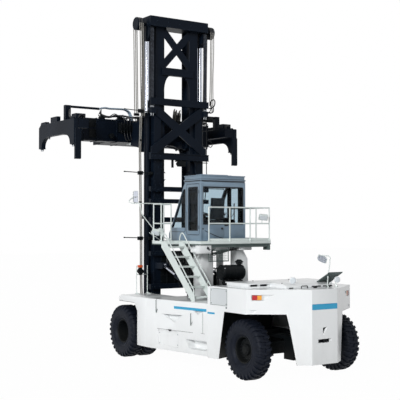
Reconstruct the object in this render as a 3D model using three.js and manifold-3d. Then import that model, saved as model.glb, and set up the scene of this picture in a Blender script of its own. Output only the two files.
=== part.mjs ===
// Laden container lift truck: a two-stage mast in front of a long chassis, with a
// telescopic top-lift spreader. Millimetres, +Z up, the truck faces -Y, +X is its left side.
// The drive axle's centre line on the ground is the local zero; the exported group then moves
// the truck so that the frame's zero is the middle of its footprint.
import * as THREE from 'three';
import { mergeVertices } from 'three/addons/utils/BufferGeometryUtils.js';
import Module from 'manifold-3d';

const wasm = await Module();
wasm.setup();

// ---- Driving dimensions -------------------------------------------------------------------
const joinGap = 0.3;            // between two pieces that touch
const runningGap = 5;           // between two pieces that move past each other
const pinGap = 2;               // round a pin in its bore

// Facets round a circle
const fine = 24;
const round = 16;
const small = 10;
const railSides = 8;

// Wheels
const wheelbase = 5200;
const tyreRadius = 750;
const tyreWidth = 430;
const tyreBore = 318;
const twinGap = 87;
const frontTyreInner = 1190;    // inner face of the inner front tyre
const rearTyreInner = 1220;
const kingpinX = 1100;
const kingpinRadius = 45;
const knuckleRadius = 100;
const knuckleHeight = 440;
const earThickness = 80;
const steerBeamHalfWidth = 120;
const axleTubeRadius = 170;
const spindleRadius = 95;
const hubRadius = 165;

// Chassis
const railInner = 420;
const railWall = 100;
const railBottom = tyreRadius - 270;
const railTop = tyreRadius + 310;
const frameTail = 640;          // rails past the steer axle
const tyreHeadroom = 300;       // from a tyre's top to the deck's top
const deckTop = 2 * tyreRadius + tyreHeadroom;
const deckPlate = 60;
const deckFront = 1450;
const bulkheadDepth = 150;
const sideInner = 640;
const fenderInner = 1120;
const fenderOuter = 2140;
const fenderFront = -100;
const fenderThickness = 180;
const fenderWallFront = 950;
const skirtBottom = 450;
const rearBodyLead = 1300;      // rear body's front, ahead of the steer axle
const rearBodyRise = 450;       // rear body's top above the deck
const rearBodyHalf = 1700;
const cheekLength = 400;        // slight taper at the rear body's front
const rearCross = 180;          // rear cross piece of the frame, behind the rear body's front
const stepY = [2150, 2620];     // pockets for the steps in the side tanks
const stepZ = [560, 900];
const stepDepth = 420;
const bendOffset = 290;         // where the side turns in to the tail, behind the steer axle
const tailHalf = 410;
const tailOffset = 1220;
const archHeadroom = 140;       // wheel house above the tyre
const archTopRoom = 130;        // wheel house round the tyre at its top
const archBottomRoom = 340;
const archBottom = 415;
const hoodHalf = 720;
const hoodLead = 1150;
const hoodTail = 620;
const hoodHeight = 110;
const engineHalf = 390;
const engineFront = 2200;
const engineLength = 1650;
const engineBottom = 640;
const engineHeight = 1060;

// Mast
const mastTop = 10120;
const pivotZ = tyreRadius;      // tilt axis, on the drive axle's centre line
const outerRailInner = 620;
const outerRailOuter = 860;
const outerRailRear = -270;
const outerRailDepth = 460;
const outerBottom = 250;
const outerTop = mastTop - 2480;
const mastPlate = 30;
const innerWebInner = 560;
const innerFlangeInner = 460;
const innerFlangeOuter = 755;
const innerRailRear = -340;
const innerRailDepth = 460;
const innerBottom = 2550;
const topBeamHeight = 300;
const topBeamHalf = 1045;
const topBeamRear = -180;
const topBeamFront = -960;
const crossHalf = 1045;
const crossDepth = 120;
const crossHeight = 200;
const midCross = [outerTop - 1850, outerTop - 1650];
const lowerCrosses = [[1900, 2050], [2900, 3030], [3900, 4050], [4470, 4600], [4830, 4970]];
const innerCrossTop = mastTop - 1510;
const innerCrossHeight = 230;
const liftX = 960;
const liftY = -520;
const liftBarrelRadius = 98;
const liftRodRadius = 75;
const liftBarrelTop = outerTop - 410;
const liftRodBottom = 2900;
const rodHeadZ = mastTop - 720;
const anchorTop = outerTop - 290; // where each lift chain ends on the outer mast
const sheaveRadius = 250;
const sheaveWidth = 130;
const hoseSheaveX = 1200;
const hoseSheaveZ = mastTop - 240;
const sheaveZ = mastTop - 450;
const sheaveY = -490;
const chainThickness = 25;
const tiltX = 720;
const tiltPinMastY = 100;
const tiltPinMastZ = deckTop + 800;
const tiltPinDeckY = 1750;
const tiltPinDeckZ = deckTop + 180;
const tiltPinRadius = 40;
const tiltBarrelRadius = 85;
const tiltRodRadius = 45;
const tiltEyeRadius = 85;
const tiltEyeWidth = 90;
const tiltBarrelLength = 1050;
const tiltRodInsert = 590;
const tiltNeck = 190;           // from the deck pin to the barrel's wide part

// Carriage and spreader
const carriageHalf = 1010;
const carriageBottom = 6050;
const carriageTop = 7080;
const carriageRear = -870;
const carriagePlate = 60;
const spreaderY = -2660;
const spreaderHalfLength = 2450;
const rearBoxEnd = 2300;        // closed end of the rear box, on the right
const frontBoxEnd = 1350;       // closed end of the front box, on the left
const lockX = 2926.5;           // corner casting spacing of a 20 ft container, halved
const lockY = 1129.5;
const lockTip = 6170;
const lockRadius = 30;
const lockHead = 52;
const boxBottom = 6430;
const boxHeight = 700;
const boxDepth = 420;
const boxWall = 25;
const boxSpacing = 480;         // between the two boxes
const beamWall = 20;
const beamGap = 15;
const endBeamOuter = 3000;
const endBeamInner = 2520;
const endPlateInner = 2860;     // the arch and the legs are a thinner plate under the beam
const endBeamTop = 7000;
const legHalf = 100;
const noseOverhang = 100;       // end beam beyond its front lock
const endBeamOverhang = 180;    // and beyond its rear lock
const legBottom = 6250;
const archApex = 6590;
const archReach = 540;          // how far along the beam each side of the arch curves
const guideBottom = 5790;

// Cab and platform
const platformBottom = 3270;
const platformTop = platformBottom + 100;
const platformRight = -1370;
const platformRear = 2550;
const platformFront = 600;
const walkwayLeft = 1060;
const landingLeft = 1700;
const landingFront = 1030;
const landingRear = 1500;
const cabHalf = 780;
const cabRear = 2120;
const cabNoseY = 450;           // foot of the slanted windscreen
const cabBrowY = 1300;          // head of the windscreen, at the roof
const cabWall = 40;
const cabFloor = platformTop + 110;
const cabNoseTop = cabFloor + 80;
const sillZ = cabFloor + 350;
const windowTop = cabFloor + 1420;
const cabTop = cabFloor + 1550;
const glassThickness = 6;
const doorFront = 1400;
const doorRear = 2070;
const doorBottom = cabFloor + 50;
const doorTop = cabFloor + 1505;
const handleBottom = cabFloor + 700;
const handleLength = 180;
const doorThickness = 40;
const roofHeight = 220;
const roofOverhang = 60;
const railHeight = 940;
const frontRailHeight = 1040;
const midRailHeight = 490;
const tubeRadius = 19;
const stairInner = 1100;
const stairOuter = 1700;
const stairTopY = 1530;
const stairFootY = 3130;
const stairCount = 6;
const supportHead = platformBottom - 160;
const supportShoulder = platformBottom - 420;
const supportY = [1900, 2200];
const cleanerY = 2750;
const cleanerZ = deckTop + 710;
const cleanerRadius = 210;
const cleanerX = [-200, 560];
const intakeX = -90;

// ---- Materials ----------------------------------------------------------------------------
const paint = (color, roughness = 0.45, metalness = 0.1) =>
  new THREE.MeshStandardMaterial({ color, roughness, metalness });
const white = paint(0xeceeee);
const paleGrey = paint(0xc9d2d0);
const cabGrey = paint(0x7c8ea6);
const mastDark = paint(0x1c232d);
const chrome = paint(0xc6ccd2, 0.15, 1);
const rubber = paint(0x14161a, 0.9, 0);
const ironBlack = paint(0x22262b, 0.6, 0.4);
const seatBlack = paint(0x17181b, 0.8, 0);
const glass = new THREE.MeshStandardMaterial({
  color: 0x9fb9c6, roughness: 0.05, metalness: 0, transparent: true, opacity: 0.35,
});

// ---- Making shapes ------------------------------------------------------------------------
// A closed three.js geometry as a solid that can be joined and cut.
function solid(geometry) {
  const bare = geometry.clone();
  bare.deleteAttribute('normal');
  bare.deleteAttribute('uv');
  const merged = mergeVertices(bare, 1e-3);
  return new wasm.Manifold(new wasm.Mesh({
    numProp: 3,
    vertProperties: merged.attributes.position.array,
    triVerts: new Uint32Array(merged.index.array),
  }));
}

const join = (...solids) => solids.flat().reduce((sum, next) => sum.add(next));
const cut = (body, ...tools) => tools.flat().reduce((rest, tool) => rest.subtract(tool), body);

function block([x0, x1], [y0, y1], [z0, z1]) {
  const box = new THREE.BoxGeometry(Math.abs(x1 - x0), Math.abs(y1 - y0), Math.abs(z1 - z0));
  return solid(box.translate((x0 + x1) / 2, (y0 + y1) / 2, (z0 + z1) / 2));
}

// A round bar between two points.
function bar(from, to, radius, sides = round, endRadius = radius) {
  const a = new THREE.Vector3(...from);
  const b = new THREE.Vector3(...to);
  const along = b.clone().sub(a);
  const geometry = new THREE.CylinderGeometry(endRadius, radius, along.length(), sides);
  const turn = new THREE.Quaternion().setFromUnitVectors(
    new THREE.Vector3(0, 1, 0), along.clone().normalize());
  geometry.applyQuaternion(turn);
  return solid(geometry.translate(...a.add(b).multiplyScalar(0.5).toArray()));
}

// An outline extruded along one axis. Its points are (Y, Z) along x, (X, Z) along y, (X, Y) along z.
function prism(axis, outline, from, to) {
  const shape = outline instanceof THREE.Shape
    ? outline : new THREE.Shape(outline.map(([u, v]) => new THREE.Vector2(u, v)));
  const geometry = new THREE.ExtrudeGeometry(shape, {
    depth: to - from, bevelEnabled: false, curveSegments: 8,
  });
  geometry.translate(0, 0, from);
  const basis = new THREE.Matrix4();
  const [x, y, z] = [new THREE.Vector3(1, 0, 0), new THREE.Vector3(0, 1, 0), new THREE.Vector3(0, 0, 1)];
  if (axis === 'x') basis.makeBasis(y, z, x);
  if (axis === 'y') basis.makeBasis(x, z, y);
  if (axis === 'z') basis.makeBasis(x, y, z);
  geometry.applyMatrix4(basis);
  return axis === 'y' ? flipped(geometry) : solid(geometry);
}

// Turns every face round, for a geometry that a mirror has turned inside out.
function flipped(geometry) {
  const flat = geometry.index ? geometry.toNonIndexed() : geometry.clone();
  const position = flat.attributes.position.array;
  for (let i = 0; i < position.length; i += 9) {
    for (let k = 0; k < 3; k += 1) {
      [position[i + 3 + k], position[i + 6 + k]] = [position[i + 6 + k], position[i + 3 + k]];
    }
  }
  return solid(flat);
}

// A profile of (distance along X, radius) turned round the X axis through (y, z).
function turned(profile, y, z, segments = fine) {
  const geometry = new THREE.LatheGeometry(
    profile.map(([along, radius]) => new THREE.Vector2(radius, along)), segments);
  geometry.rotateZ(-Math.PI / 2);
  geometry.translate(0, y, z);
  const made = solid(geometry);
  return made.volume() < 0 ? flipped(geometry) : made;
}

function geometryOf(body) {
  const { vertProperties, triVerts, numProp } = body.getMesh();
  const position = new Float32Array(triVerts.length * 3);
  triVerts.forEach((v, i) => {
    for (let k = 0; k < 3; k += 1) position[i * 3 + k] = vertProperties[v * numProp + k];
  });
  const geometry = new THREE.BufferGeometry();
  geometry.setAttribute('position', new THREE.BufferAttribute(position, 3));
  geometry.computeVertexNormals();
  return geometry;
}

const truck = new THREE.Group();

function add(name, body, material) {
  const mesh = new THREE.Mesh(geometryOf(body), material);
  mesh.name = name;
  truck.add(mesh);
}

// The same piece on both sides: made on the left, mirrored to the right.
function addPair(name, body, material) {
  add(`${name}_left`, body, material);
  const geometry = geometryOf(body).scale(-1, 1, 1);
  add(`${name}_right`, flipped(geometry), material);
}

const both = (body) => [body, flipped(geometryOf(body).scale(-1, 1, 1))];

// ---- Wheels and axles ---------------------------------------------------------------------
const axleZ = tyreRadius;
const frameRear = wheelbase + frameTail;
const rearBodyFront = wheelbase - rearBodyLead;
const rearBodyTop = deckTop + rearBodyRise;
const rearBodyBend = wheelbase + bendOffset;
const tailY = wheelbase + tailOffset;
const archTop = 2 * tyreRadius + archHeadroom;
const archTopRadius = tyreRadius + archTopRoom;
const archBottomRadius = tyreRadius + archBottomRoom;
const hoodFront = wheelbase - hoodLead;
const hoodRear = wheelbase + hoodTail;
const rearTyreCentre = rearTyreInner + tyreWidth / 2;
const frontInnerCentre = frontTyreInner + tyreWidth / 2;
const frontOuterCentre = frontInnerCentre + tyreWidth + twinGap;

// Half section of a tyre's outside, from the inner bead over the tread to the outer bead.
function tyreOutline(centre) {
  const half = tyreWidth / 2;
  const bulge = half;
  const tread = half * 0.86;
  const flange = tyreBore + 42;
  return [
    [centre - tread * 0.72, flange], [centre - bulge, flange + 140], [centre - tread, tyreRadius - 50],
    [centre - tread * 0.8, tyreRadius], [centre + tread * 0.8, tyreRadius],
    [centre + tread, tyreRadius - 50], [centre + bulge, flange + 140], [centre + tread * 0.72, flange],
  ];
}

function tyres(centres, y) {
  const outline = centres.flatMap(tyreOutline);
  const first = outline[0][0];
  const last = outline[outline.length - 1][0];
  const profile = [[first, tyreBore], ...outline, [last, tyreBore], [first, tyreBore]];
  return turned(profile, y, axleZ);
}

// Rim barrel with a dished disc and a hub that turns on the spindle.
function wheelCentre(first, last, discAt, y, hubTo) {
  const outer = tyreBore - joinGap;
  const inner = outer - 18;
  const bore = spindleRadius + pinGap;
  return turned([
    [first, outer], [last, outer], [last, inner], [discAt + 30, inner], [discAt + 30, hubRadius],
    [hubTo, hubRadius], [hubTo, bore], [discAt - 110, bore], [discAt - 110, hubRadius],
    [discAt, hubRadius], [discAt, inner], [first, inner], [first, outer],
  ], y, axleZ);
}

const beadHalf = (tyreWidth / 2) * 0.86 * 0.72;
const frontDisc = frontInnerCentre + 210;
addPair('front_tyres', tyres([frontInnerCentre, frontOuterCentre], 0), rubber);
addPair('front_wheel', wheelCentre(
  frontInnerCentre - beadHalf, frontOuterCentre + beadHalf, frontDisc, 0, frontDisc + 160), ironBlack);
const rearDisc = rearTyreCentre - 20;
addPair('rear_tyre', tyres([rearTyreCentre], wheelbase), rubber);
addPair('rear_wheel', wheelCentre(
  rearTyreCentre - beadHalf, rearTyreCentre + beadHalf, rearDisc, wheelbase, rearDisc + 110), ironBlack);

// Drive axle: housing with the reduction gear in the middle, tubes, and spindles in the hubs.
const gearHousingRadius = 330;
const gearHousingY = 160;
const axleHousingRear = gearHousingY + gearHousingRadius;
const gearHousing = solid(new THREE.SphereGeometry(gearHousingRadius, round, small)
  .translate(0, gearHousingY, axleZ));
add('drive_axle', join(
  gearHousing,
  bar([-frontTyreInner + 90, 0, axleZ], [frontTyreInner - 90, 0, axleZ], axleTubeRadius),
  bar([-frontDisc - 130, 0, axleZ], [frontDisc + 130, 0, axleZ], spindleRadius),
  ...both(bar([frontTyreInner - 130, 0, axleZ], [frontTyreInner - 60, 0, axleZ], 230)),
), ironBlack);

// Steer axle: a beam under the chassis with two ears round each kingpin.
const knuckleLow = axleZ - knuckleHeight / 2;
const knuckleHigh = axleZ + knuckleHeight / 2;
const earTop = knuckleHigh + runningGap + earThickness;
const earBottom = knuckleLow - runningGap - earThickness;
function steerYoke() {
  const ears = [[knuckleHigh + runningGap, earTop], [earBottom, knuckleLow - runningGap]].flatMap(
    ([low, high]) => [
      bar([kingpinX, wheelbase, low], [kingpinX, wheelbase, high], knuckleRadius),
      block([kingpinX - 240, kingpinX], [wheelbase - 80, wheelbase + 80], [low, high]),
    ]);
  const back = block([kingpinX - 240, kingpinX - knuckleRadius - 30],
    [wheelbase - 80, wheelbase + 80], [earBottom, earTop]);
  return cut(join(ears, back),
    bar([kingpinX, wheelbase, earBottom - 10], [kingpinX, wheelbase, earTop + 10],
      kingpinRadius + pinGap));
}
add('steer_axle', join(
  block([-kingpinX + 220, kingpinX - 220],
    [wheelbase - steerBeamHalfWidth, wheelbase + steerBeamHalfWidth], [axleZ - 150, axleZ + 150]),
  ...both(steerYoke()),
  block([-150, 150], [wheelbase - 260, wheelbase + 260], [axleZ + 100, axleZ + 230]),
), ironBlack);
addPair('steer_knuckle', join(
  bar([kingpinX, wheelbase, knuckleLow], [kingpinX, wheelbase, knuckleHigh], knuckleRadius - 5),
  bar([kingpinX, wheelbase, earBottom], [kingpinX, wheelbase, earTop], kingpinRadius),
  bar([kingpinX, wheelbase, axleZ], [rearDisc + 90, wheelbase, axleZ], spindleRadius),
), ironBlack);

// ---- Chassis ------------------------------------------------------------------------------
const railOuter = railInner + railWall;
const axleSaddle = axleZ + axleTubeRadius + joinGap;
const rail = join(
  block([railInner, railOuter], [axleTubeRadius + 150, frameRear], [railBottom, railTop]),
  block([railInner, railOuter], [-axleTubeRadius, axleTubeRadius + 400], [axleSaddle, railTop + 200]),
);
const steerSpace = block([-railOuter - 10, railOuter + 10],
  [wheelbase - 270, wheelbase + 270], [earBottom - 50, axleZ + 230 + joinGap]);
add('chassis_frame', cut(join(
  ...both(rail),
  block([-railOuter, railOuter], [axleHousingRear + 40, axleHousingRear + 190], [railBottom, railTop]),
  block([-sideInner + joinGap, sideInner - joinGap], [deckFront - bulkheadDepth, deckFront],
    [railBottom, deckTop]),
  block([-sideInner + joinGap, sideInner - joinGap], [deckFront - 1, rearBodyFront - joinGap],
    [deckTop - deckPlate, deckTop]),
  block([-railOuter, railOuter], [rearBodyFront + rearCross, rearBodyFront + rearCross + bulkheadDepth],
    [railBottom, railTop]),
  block([-railOuter, railOuter], [wheelbase - 300, wheelbase + 300], [axleZ + 200, railTop]),
), steerSpace), ironBlack);
add('engine_block', block([-engineHalf, engineHalf], [engineFront, engineFront + engineLength],
  [engineBottom, engineBottom + engineHeight]), ironBlack);

// Fender: a shelf over the rear half of the front wheels and a wall behind them.
const fenderProfile = [
  [fenderFront, deckTop - fenderThickness], [fenderFront, deckTop - 70], [fenderFront + 70, deckTop],
  [deckFront - joinGap, deckTop], [deckFront - joinGap, skirtBottom], [fenderWallFront, skirtBottom],
  [fenderWallFront, deckTop - fenderThickness - 220], [fenderWallFront - 160, deckTop - fenderThickness],
];
addPair('front_fender', prism('x', fenderProfile, fenderInner, fenderOuter), white);
const sideTank = prism('z', [
  [sideInner, deckFront], [fenderOuter, deckFront], [fenderOuter - 15, deckFront + 180],
  [rearBodyHalf + 60, rearBodyFront - joinGap], [sideInner, rearBodyFront - joinGap],
], skirtBottom, deckTop);
const stepPocket = block([fenderOuter - stepDepth, fenderOuter + 50], stepY, stepZ);
addPair('side_tank', cut(sideTank, stepPocket), white);

// Rear body: one heavy casting round the engine bay, with cone shaped wheel houses.
const tailOutline = [
  [tailHalf, tailY], [rearBodyHalf, rearBodyBend], [rearBodyHalf, rearBodyFront + cheekLength],
  [rearBodyHalf + 60, rearBodyFront],
];
const rearOutline = [...tailOutline, ...tailOutline.map(([x, y]) => [-x, y]).reverse()];
const wheelHouse = solid(new THREE.CylinderGeometry(
  archTopRadius, archBottomRadius, archTop - archBottom + 60, fine,
).rotateX(Math.PI / 2).translate(kingpinX, wheelbase, (archTop + archBottom - 60) / 2));
add('rear_body', cut(
  prism('z', rearOutline, archBottom + 5, rearBodyTop),
  ...both(wheelHouse),
  block([-railOuter - 60, railOuter + 60], [rearBodyFront - 10, frameRear + joinGap], [0, archTop]),
), white);
add('engine_hood', prism('x', [
  [hoodFront, rearBodyTop + joinGap], [hoodRear, rearBodyTop + joinGap],
  [hoodRear, rearBodyTop + hoodHeight * 0.55], [hoodRear - 160, rearBodyTop + hoodHeight],
  [hoodFront + 60, rearBodyTop + hoodHeight], [hoodFront, rearBodyTop + hoodHeight - 60],
], -hoodHalf, hoodHalf), white);

// ---- Mast ---------------------------------------------------------------------------------
const outerFront = outerRailRear - outerRailDepth;
const innerFront = innerRailRear - innerRailDepth;
function outerRail() {
  const spanZ = [outerBottom, outerTop];
  return [
    block([outerRailOuter - mastPlate, outerRailOuter], [outerFront, outerRailRear], spanZ),
    block([outerRailInner, outerRailOuter], [outerRailRear - mastPlate, outerRailRear], spanZ),
    block([outerRailInner, outerRailOuter], [outerFront, outerFront + mastPlate], spanZ),
  ];
}
function crossMember(low, high) {
  return block([-crossHalf, crossHalf], [outerRailRear - 1, outerRailRear + crossDepth], [low, high]);
}
function brace(half, low, high, y0, y1, width) {
  const rising = prism('y', [
    [-half, low], [-half + width, low], [half, high - width], [half, high],
    [half - width, high], [-half, low + width],
  ], y0, y1);
  return join(both(rising));
}
const foot = join(
  block([outerRailInner, outerRailOuter], [outerRailRear - 1, 60], [pivotZ - 270, pivotZ + 270]),
  bar([outerRailInner, 0, pivotZ], [outerRailOuter, 0, pivotZ], 270),
);
const footBore = bar([outerRailInner - 10, 0, pivotZ], [outerRailOuter + 10, 0, pivotZ],
  axleTubeRadius + runningGap);
const tiltLug = cut(
  join(
    block([tiltX - 110, tiltX + 110], [outerRailRear - 1, tiltPinMastY], [tiltPinMastZ - 85, tiltPinMastZ + 85]),
    bar([tiltX - 110, tiltPinMastY, tiltPinMastZ], [tiltX + 110, tiltPinMastY, tiltPinMastZ], 85),
  ),
  block([tiltX - tiltEyeWidth / 2 - runningGap, tiltX + tiltEyeWidth / 2 + runningGap],
    [outerRailRear, tiltPinMastY + 200], [tiltPinMastZ - 200, tiltPinMastZ + 200]),
);
const tiltPin = bar([tiltX - 110, tiltPinMastY, tiltPinMastZ], [tiltX + 110, tiltPinMastY, tiltPinMastZ],
  tiltPinRadius - 12, small);
const barrelFoot = block([outerRailOuter - 1, crossHalf + 20], [liftY - 110, liftY + 110], [outerBottom, 350]);
const barrelClamp = (z) => cut(
  block([outerRailOuter - 1, crossHalf + 20], [liftY - 110, liftY + 110], [z, z + 120]),
  bar([liftX, liftY, z - 10], [liftX, liftY, z + 130], liftBarrelRadius + joinGap),
);
const chainRear = sheaveY + sheaveRadius + joinGap;
const chainAnchor = block([outerRailOuter - 1, liftX + sheaveWidth / 2], [chainRear - 60, outerRailRear + crossDepth],
  [anchorTop - 170, anchorTop]);
// The chains and their sheaves come down past the ends of the top cross member.
const sheaveWay = block([outerRailOuter, crossHalf + 10],
  [outerFront, chainRear + chainThickness + runningGap], [anchorTop, outerTop + 10]);
add('outer_mast', join(
  ...both(join(outerRail())),
  cut(crossMember(outerTop - crossHeight, outerTop), both(sheaveWay)),
  crossMember(...midCross),
  ...lowerCrosses.map(([low, high]) => crossMember(low, high)),
  cut(brace(crossHalf - 60, midCross[1] - 10, outerTop - crossHeight + 10, outerRailRear, outerRailRear + 60, 190),
    both(sheaveWay)),
  ...both(cut(foot, footBore)),
  ...both(join(tiltLug, tiltPin)),
  ...both(barrelFoot),
  ...[1500, 4000, liftBarrelTop - 150].flatMap((z) => both(barrelClamp(z))),
  ...both(chainAnchor),
), mastDark);

function innerRail() {
  const spanZ = [innerBottom, mastTop];
  return [
    block([innerWebInner, innerWebInner + mastPlate], [innerFront, innerRailRear], spanZ),
    block([innerFlangeInner, innerFlangeOuter], [innerRailRear - mastPlate, innerRailRear], spanZ),
    block([innerFlangeInner, innerFlangeOuter], [innerFront, innerFront + mastPlate], spanZ),
  ];
}
const topBeamLow = mastTop - topBeamHeight;
const sheaveDisc = bar([liftX - sheaveWidth / 2, sheaveY, sheaveZ], [liftX + sheaveWidth / 2, sheaveY, sheaveZ],
  sheaveRadius - 8, fine);
const sheavePocket = block([liftX - sheaveWidth / 2 - 6, liftX + sheaveWidth / 2 + 6],
  [sheaveY - sheaveRadius - 60, chainRear + chainThickness + runningGap], [topBeamLow - 10, mastTop - 110]);
const rodHeadHalf = liftX - outerRailOuter - runningGap;
const rodHead = join(
  block([liftX - rodHeadHalf, liftX + rodHeadHalf], [liftY - 90, liftY + 90], [rodHeadZ, rodHeadZ + 30]),
  ...[-1, 1].map((s) => {
    const near = liftX + s * (sheaveWidth / 2 + 6);
    return block([near, liftX + s * rodHeadHalf], [liftY - 90, liftY + 90], [rodHeadZ, topBeamLow + 1]);
  }),
);
const hoseSheave = join(
  bar([topBeamHalf - 10, sheaveY, hoseSheaveZ], [hoseSheaveX + 10, sheaveY, hoseSheaveZ], 45, small),
  bar([hoseSheaveX, sheaveY, hoseSheaveZ], [hoseSheaveX + 190, sheaveY, hoseSheaveZ], 170),
);
const sheave = join(
  sheaveDisc,
  bar([liftX - sheaveWidth / 2 - 20, sheaveY, sheaveZ], [liftX + sheaveWidth / 2 + 20, sheaveY, sheaveZ], 45, small),
  rodHead,
);
const topBeam = cut(prism('x', [
  [topBeamRear, topBeamLow], [topBeamRear, mastTop], [topBeamFront, mastTop], [topBeamFront, mastTop - 160],
  [topBeamFront + 200, topBeamLow],
], -topBeamHalf, topBeamHalf), both(sheavePocket));
const innerCross = (low, high) =>
  block([-innerWebInner - 1, innerWebInner + 1], [innerRailRear - 85, innerRailRear + 55], [low, high]);
add('inner_mast', join(
  ...both(join(innerRail())),
  topBeam,
  innerCross(innerCrossTop - innerCrossHeight, innerCrossTop), innerCross(innerBottom, innerBottom + 250),
  innerCross(...lowerCrosses.at(-1)),
  brace(innerWebInner + 10, innerCrossTop - 10, topBeamLow + 10, innerRailRear - 60, innerRailRear, 150),
  ...both(join(sheave, hoseSheave)),
), mastDark);

const liftBarrel = cut(
  bar([liftX, liftY, 350 + joinGap], [liftX, liftY, liftBarrelTop], liftBarrelRadius),
  bar([liftX, liftY, 420], [liftX, liftY, liftBarrelTop + 10], liftRodRadius + 3),
);
addPair('lift_barrel', liftBarrel, mastDark);
addPair('lift_rod', bar([liftX, liftY, liftRodBottom], [liftX, liftY, rodHeadZ - joinGap], liftRodRadius), chrome);

// Lift chain: from the outer mast over the sheave to the carriage.
function chainPath() {
  const reach = sheaveRadius + joinGap;
  const outer = reach + chainThickness;
  const shape = new THREE.Shape();
  shape.moveTo(sheaveY + reach, anchorTop + joinGap);
  shape.lineTo(sheaveY + outer, anchorTop + joinGap);
  shape.lineTo(sheaveY + outer, sheaveZ);
  shape.absarc(sheaveY, sheaveZ, outer, 0, Math.PI, false);
  shape.lineTo(sheaveY - outer, carriageTop + joinGap);
  shape.lineTo(sheaveY - reach, carriageTop + joinGap);
  shape.lineTo(sheaveY - reach, sheaveZ);
  shape.absarc(sheaveY, sheaveZ, reach, Math.PI, 0, true);
  return shape;
}
addPair('lift_chain', prism('x', chainPath(), liftX - sheaveWidth / 2, liftX + sheaveWidth / 2), ironBlack);

// Tilt cylinders: barrel pinned to the deck, rod eye on the mast's lug.
const tiltFrom = new THREE.Vector3(tiltX, tiltPinDeckY, tiltPinDeckZ);
const tiltTo = new THREE.Vector3(tiltX, tiltPinMastY, tiltPinMastZ);
const tiltLine = tiltTo.clone().sub(tiltFrom).normalize();
const onTilt = (distance) => tiltFrom.clone().addScaledVector(tiltLine, distance).toArray();
const tiltLength = tiltTo.distanceTo(tiltFrom);
const acrossPin = (y, z, half, radius, sides = round) => bar([tiltX - half, y, z], [tiltX + half, y, z], radius, sides);
addPair('tilt_barrel', cut(
  join(
    bar(onTilt(tiltNeck), onTilt(tiltBarrelLength), tiltBarrelRadius),
    bar(onTilt(0), onTilt(tiltNeck + 10), tiltEyeWidth / 2 - 3),
    acrossPin(tiltPinDeckY, tiltPinDeckZ, tiltEyeWidth / 2, tiltEyeRadius),
  ),
  bar(onTilt(tiltNeck + 60), onTilt(tiltBarrelLength + 10), tiltRodRadius + 3),
  acrossPin(tiltPinDeckY, tiltPinDeckZ, tiltEyeWidth, tiltPinRadius + pinGap),
), mastDark);
addPair('tilt_rod', cut(
  join(
    bar(onTilt(tiltBarrelLength - tiltRodInsert), onTilt(tiltLength - 40), tiltRodRadius),
    acrossPin(tiltPinMastY, tiltPinMastZ, tiltEyeWidth / 2, tiltEyeRadius - 15),
  ),
  acrossPin(tiltPinMastY, tiltPinMastZ, tiltEyeWidth, tiltPinRadius),
), chrome);
addPair('tilt_bracket', join(
  ...[-1, 1].map((s) => {
    const near = tiltX + s * (tiltEyeWidth / 2 + runningGap);
    const far = near + s * 35;
    return join(
      block([near, far], [tiltPinDeckY - 130, tiltPinDeckY + 110], [deckTop + joinGap, tiltPinDeckZ]),
      bar([near, tiltPinDeckY, tiltPinDeckZ], [far, tiltPinDeckY, tiltPinDeckZ], 85),
    );
  }),
  acrossPin(tiltPinDeckY, tiltPinDeckZ, tiltEyeWidth / 2 + 40, tiltPinRadius),
), mastDark);

// ---- Carriage and spreader ----------------------------------------------------------------
const carriageFront = carriageRear - carriagePlate;
const boxRearY = spreaderY + boxSpacing / 2 + boxDepth;
const carriageArch = carriageBottom + 240;
const carriageShape = new THREE.Shape();
carriageShape.moveTo(-carriageHalf, carriageTop);
carriageShape.lineTo(-carriageHalf, carriageBottom);
carriageShape.lineTo(-innerFlangeInner, carriageBottom);
carriageShape.quadraticCurveTo(-innerFlangeInner, carriageArch, 0, carriageArch);
carriageShape.quadraticCurveTo(innerFlangeInner, carriageArch, innerFlangeInner, carriageBottom);
carriageShape.lineTo(carriageHalf, carriageBottom);
carriageShape.lineTo(carriageHalf, carriageTop);
const roller = (z) => join(
  block([300, 400], [carriageRear - 1, innerRailRear - 190], [z - 110, z + 110]),
  bar([390, innerFront + mastPlate + 185, z], [innerWebInner - runningGap, innerFront + mastPlate + 185, z], 150),
);
const arm = prism('x', [
  [carriageFront + 1, carriageTop - 60], [boxRearY + joinGap, carriageTop - 30],
  [boxRearY + joinGap, boxBottom - 80], [carriageFront + 1, carriageBottom + 60],
], 640, 700);
add('carriage', join(
  prism('y', carriageShape, carriageFront, carriageRear),
  ...both(join(roller(6300), roller(6830))),
  ...both(arm),
  ...both(block([liftX - 75, liftX + 75], [carriageRear - 1, sheaveY - sheaveRadius + 10],
    [carriageTop - 150, carriageTop])),
), mastDark);

// Main frame: two hollow boxes side by side, each open at the end its beam comes out of.
const boxTop = boxBottom + boxHeight;
const boxAt = (y0, closedEnd) => cut(
  block([-closedEnd, spreaderHalfLength], [y0, y0 + boxDepth], [boxBottom, boxTop]),
  block([-closedEnd + boxWall, spreaderHalfLength + 10],
    [y0 + boxWall, y0 + boxDepth - boxWall], [boxBottom + boxWall, boxTop - boxWall]),
);
const rearBoxY = spreaderY + boxSpacing / 2;
const frontBoxY = spreaderY - boxSpacing / 2 - boxDepth;
const turnedRound = (body) => flipped(geometryOf(body).scale(-1, 1, 1));
const boxTie = (low, high) => block([-frontBoxEnd, frontBoxEnd], [frontBoxY + boxDepth - 1, rearBoxY + 1], [low, high]);
add('spreader_frame', join(
  boxAt(rearBoxY, rearBoxEnd),
  turnedRound(boxAt(frontBoxY, frontBoxEnd)),
  boxTie(boxBottom, boxBottom + 60), boxTie(boxTop - 60, boxTop),
), mastDark);

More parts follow.
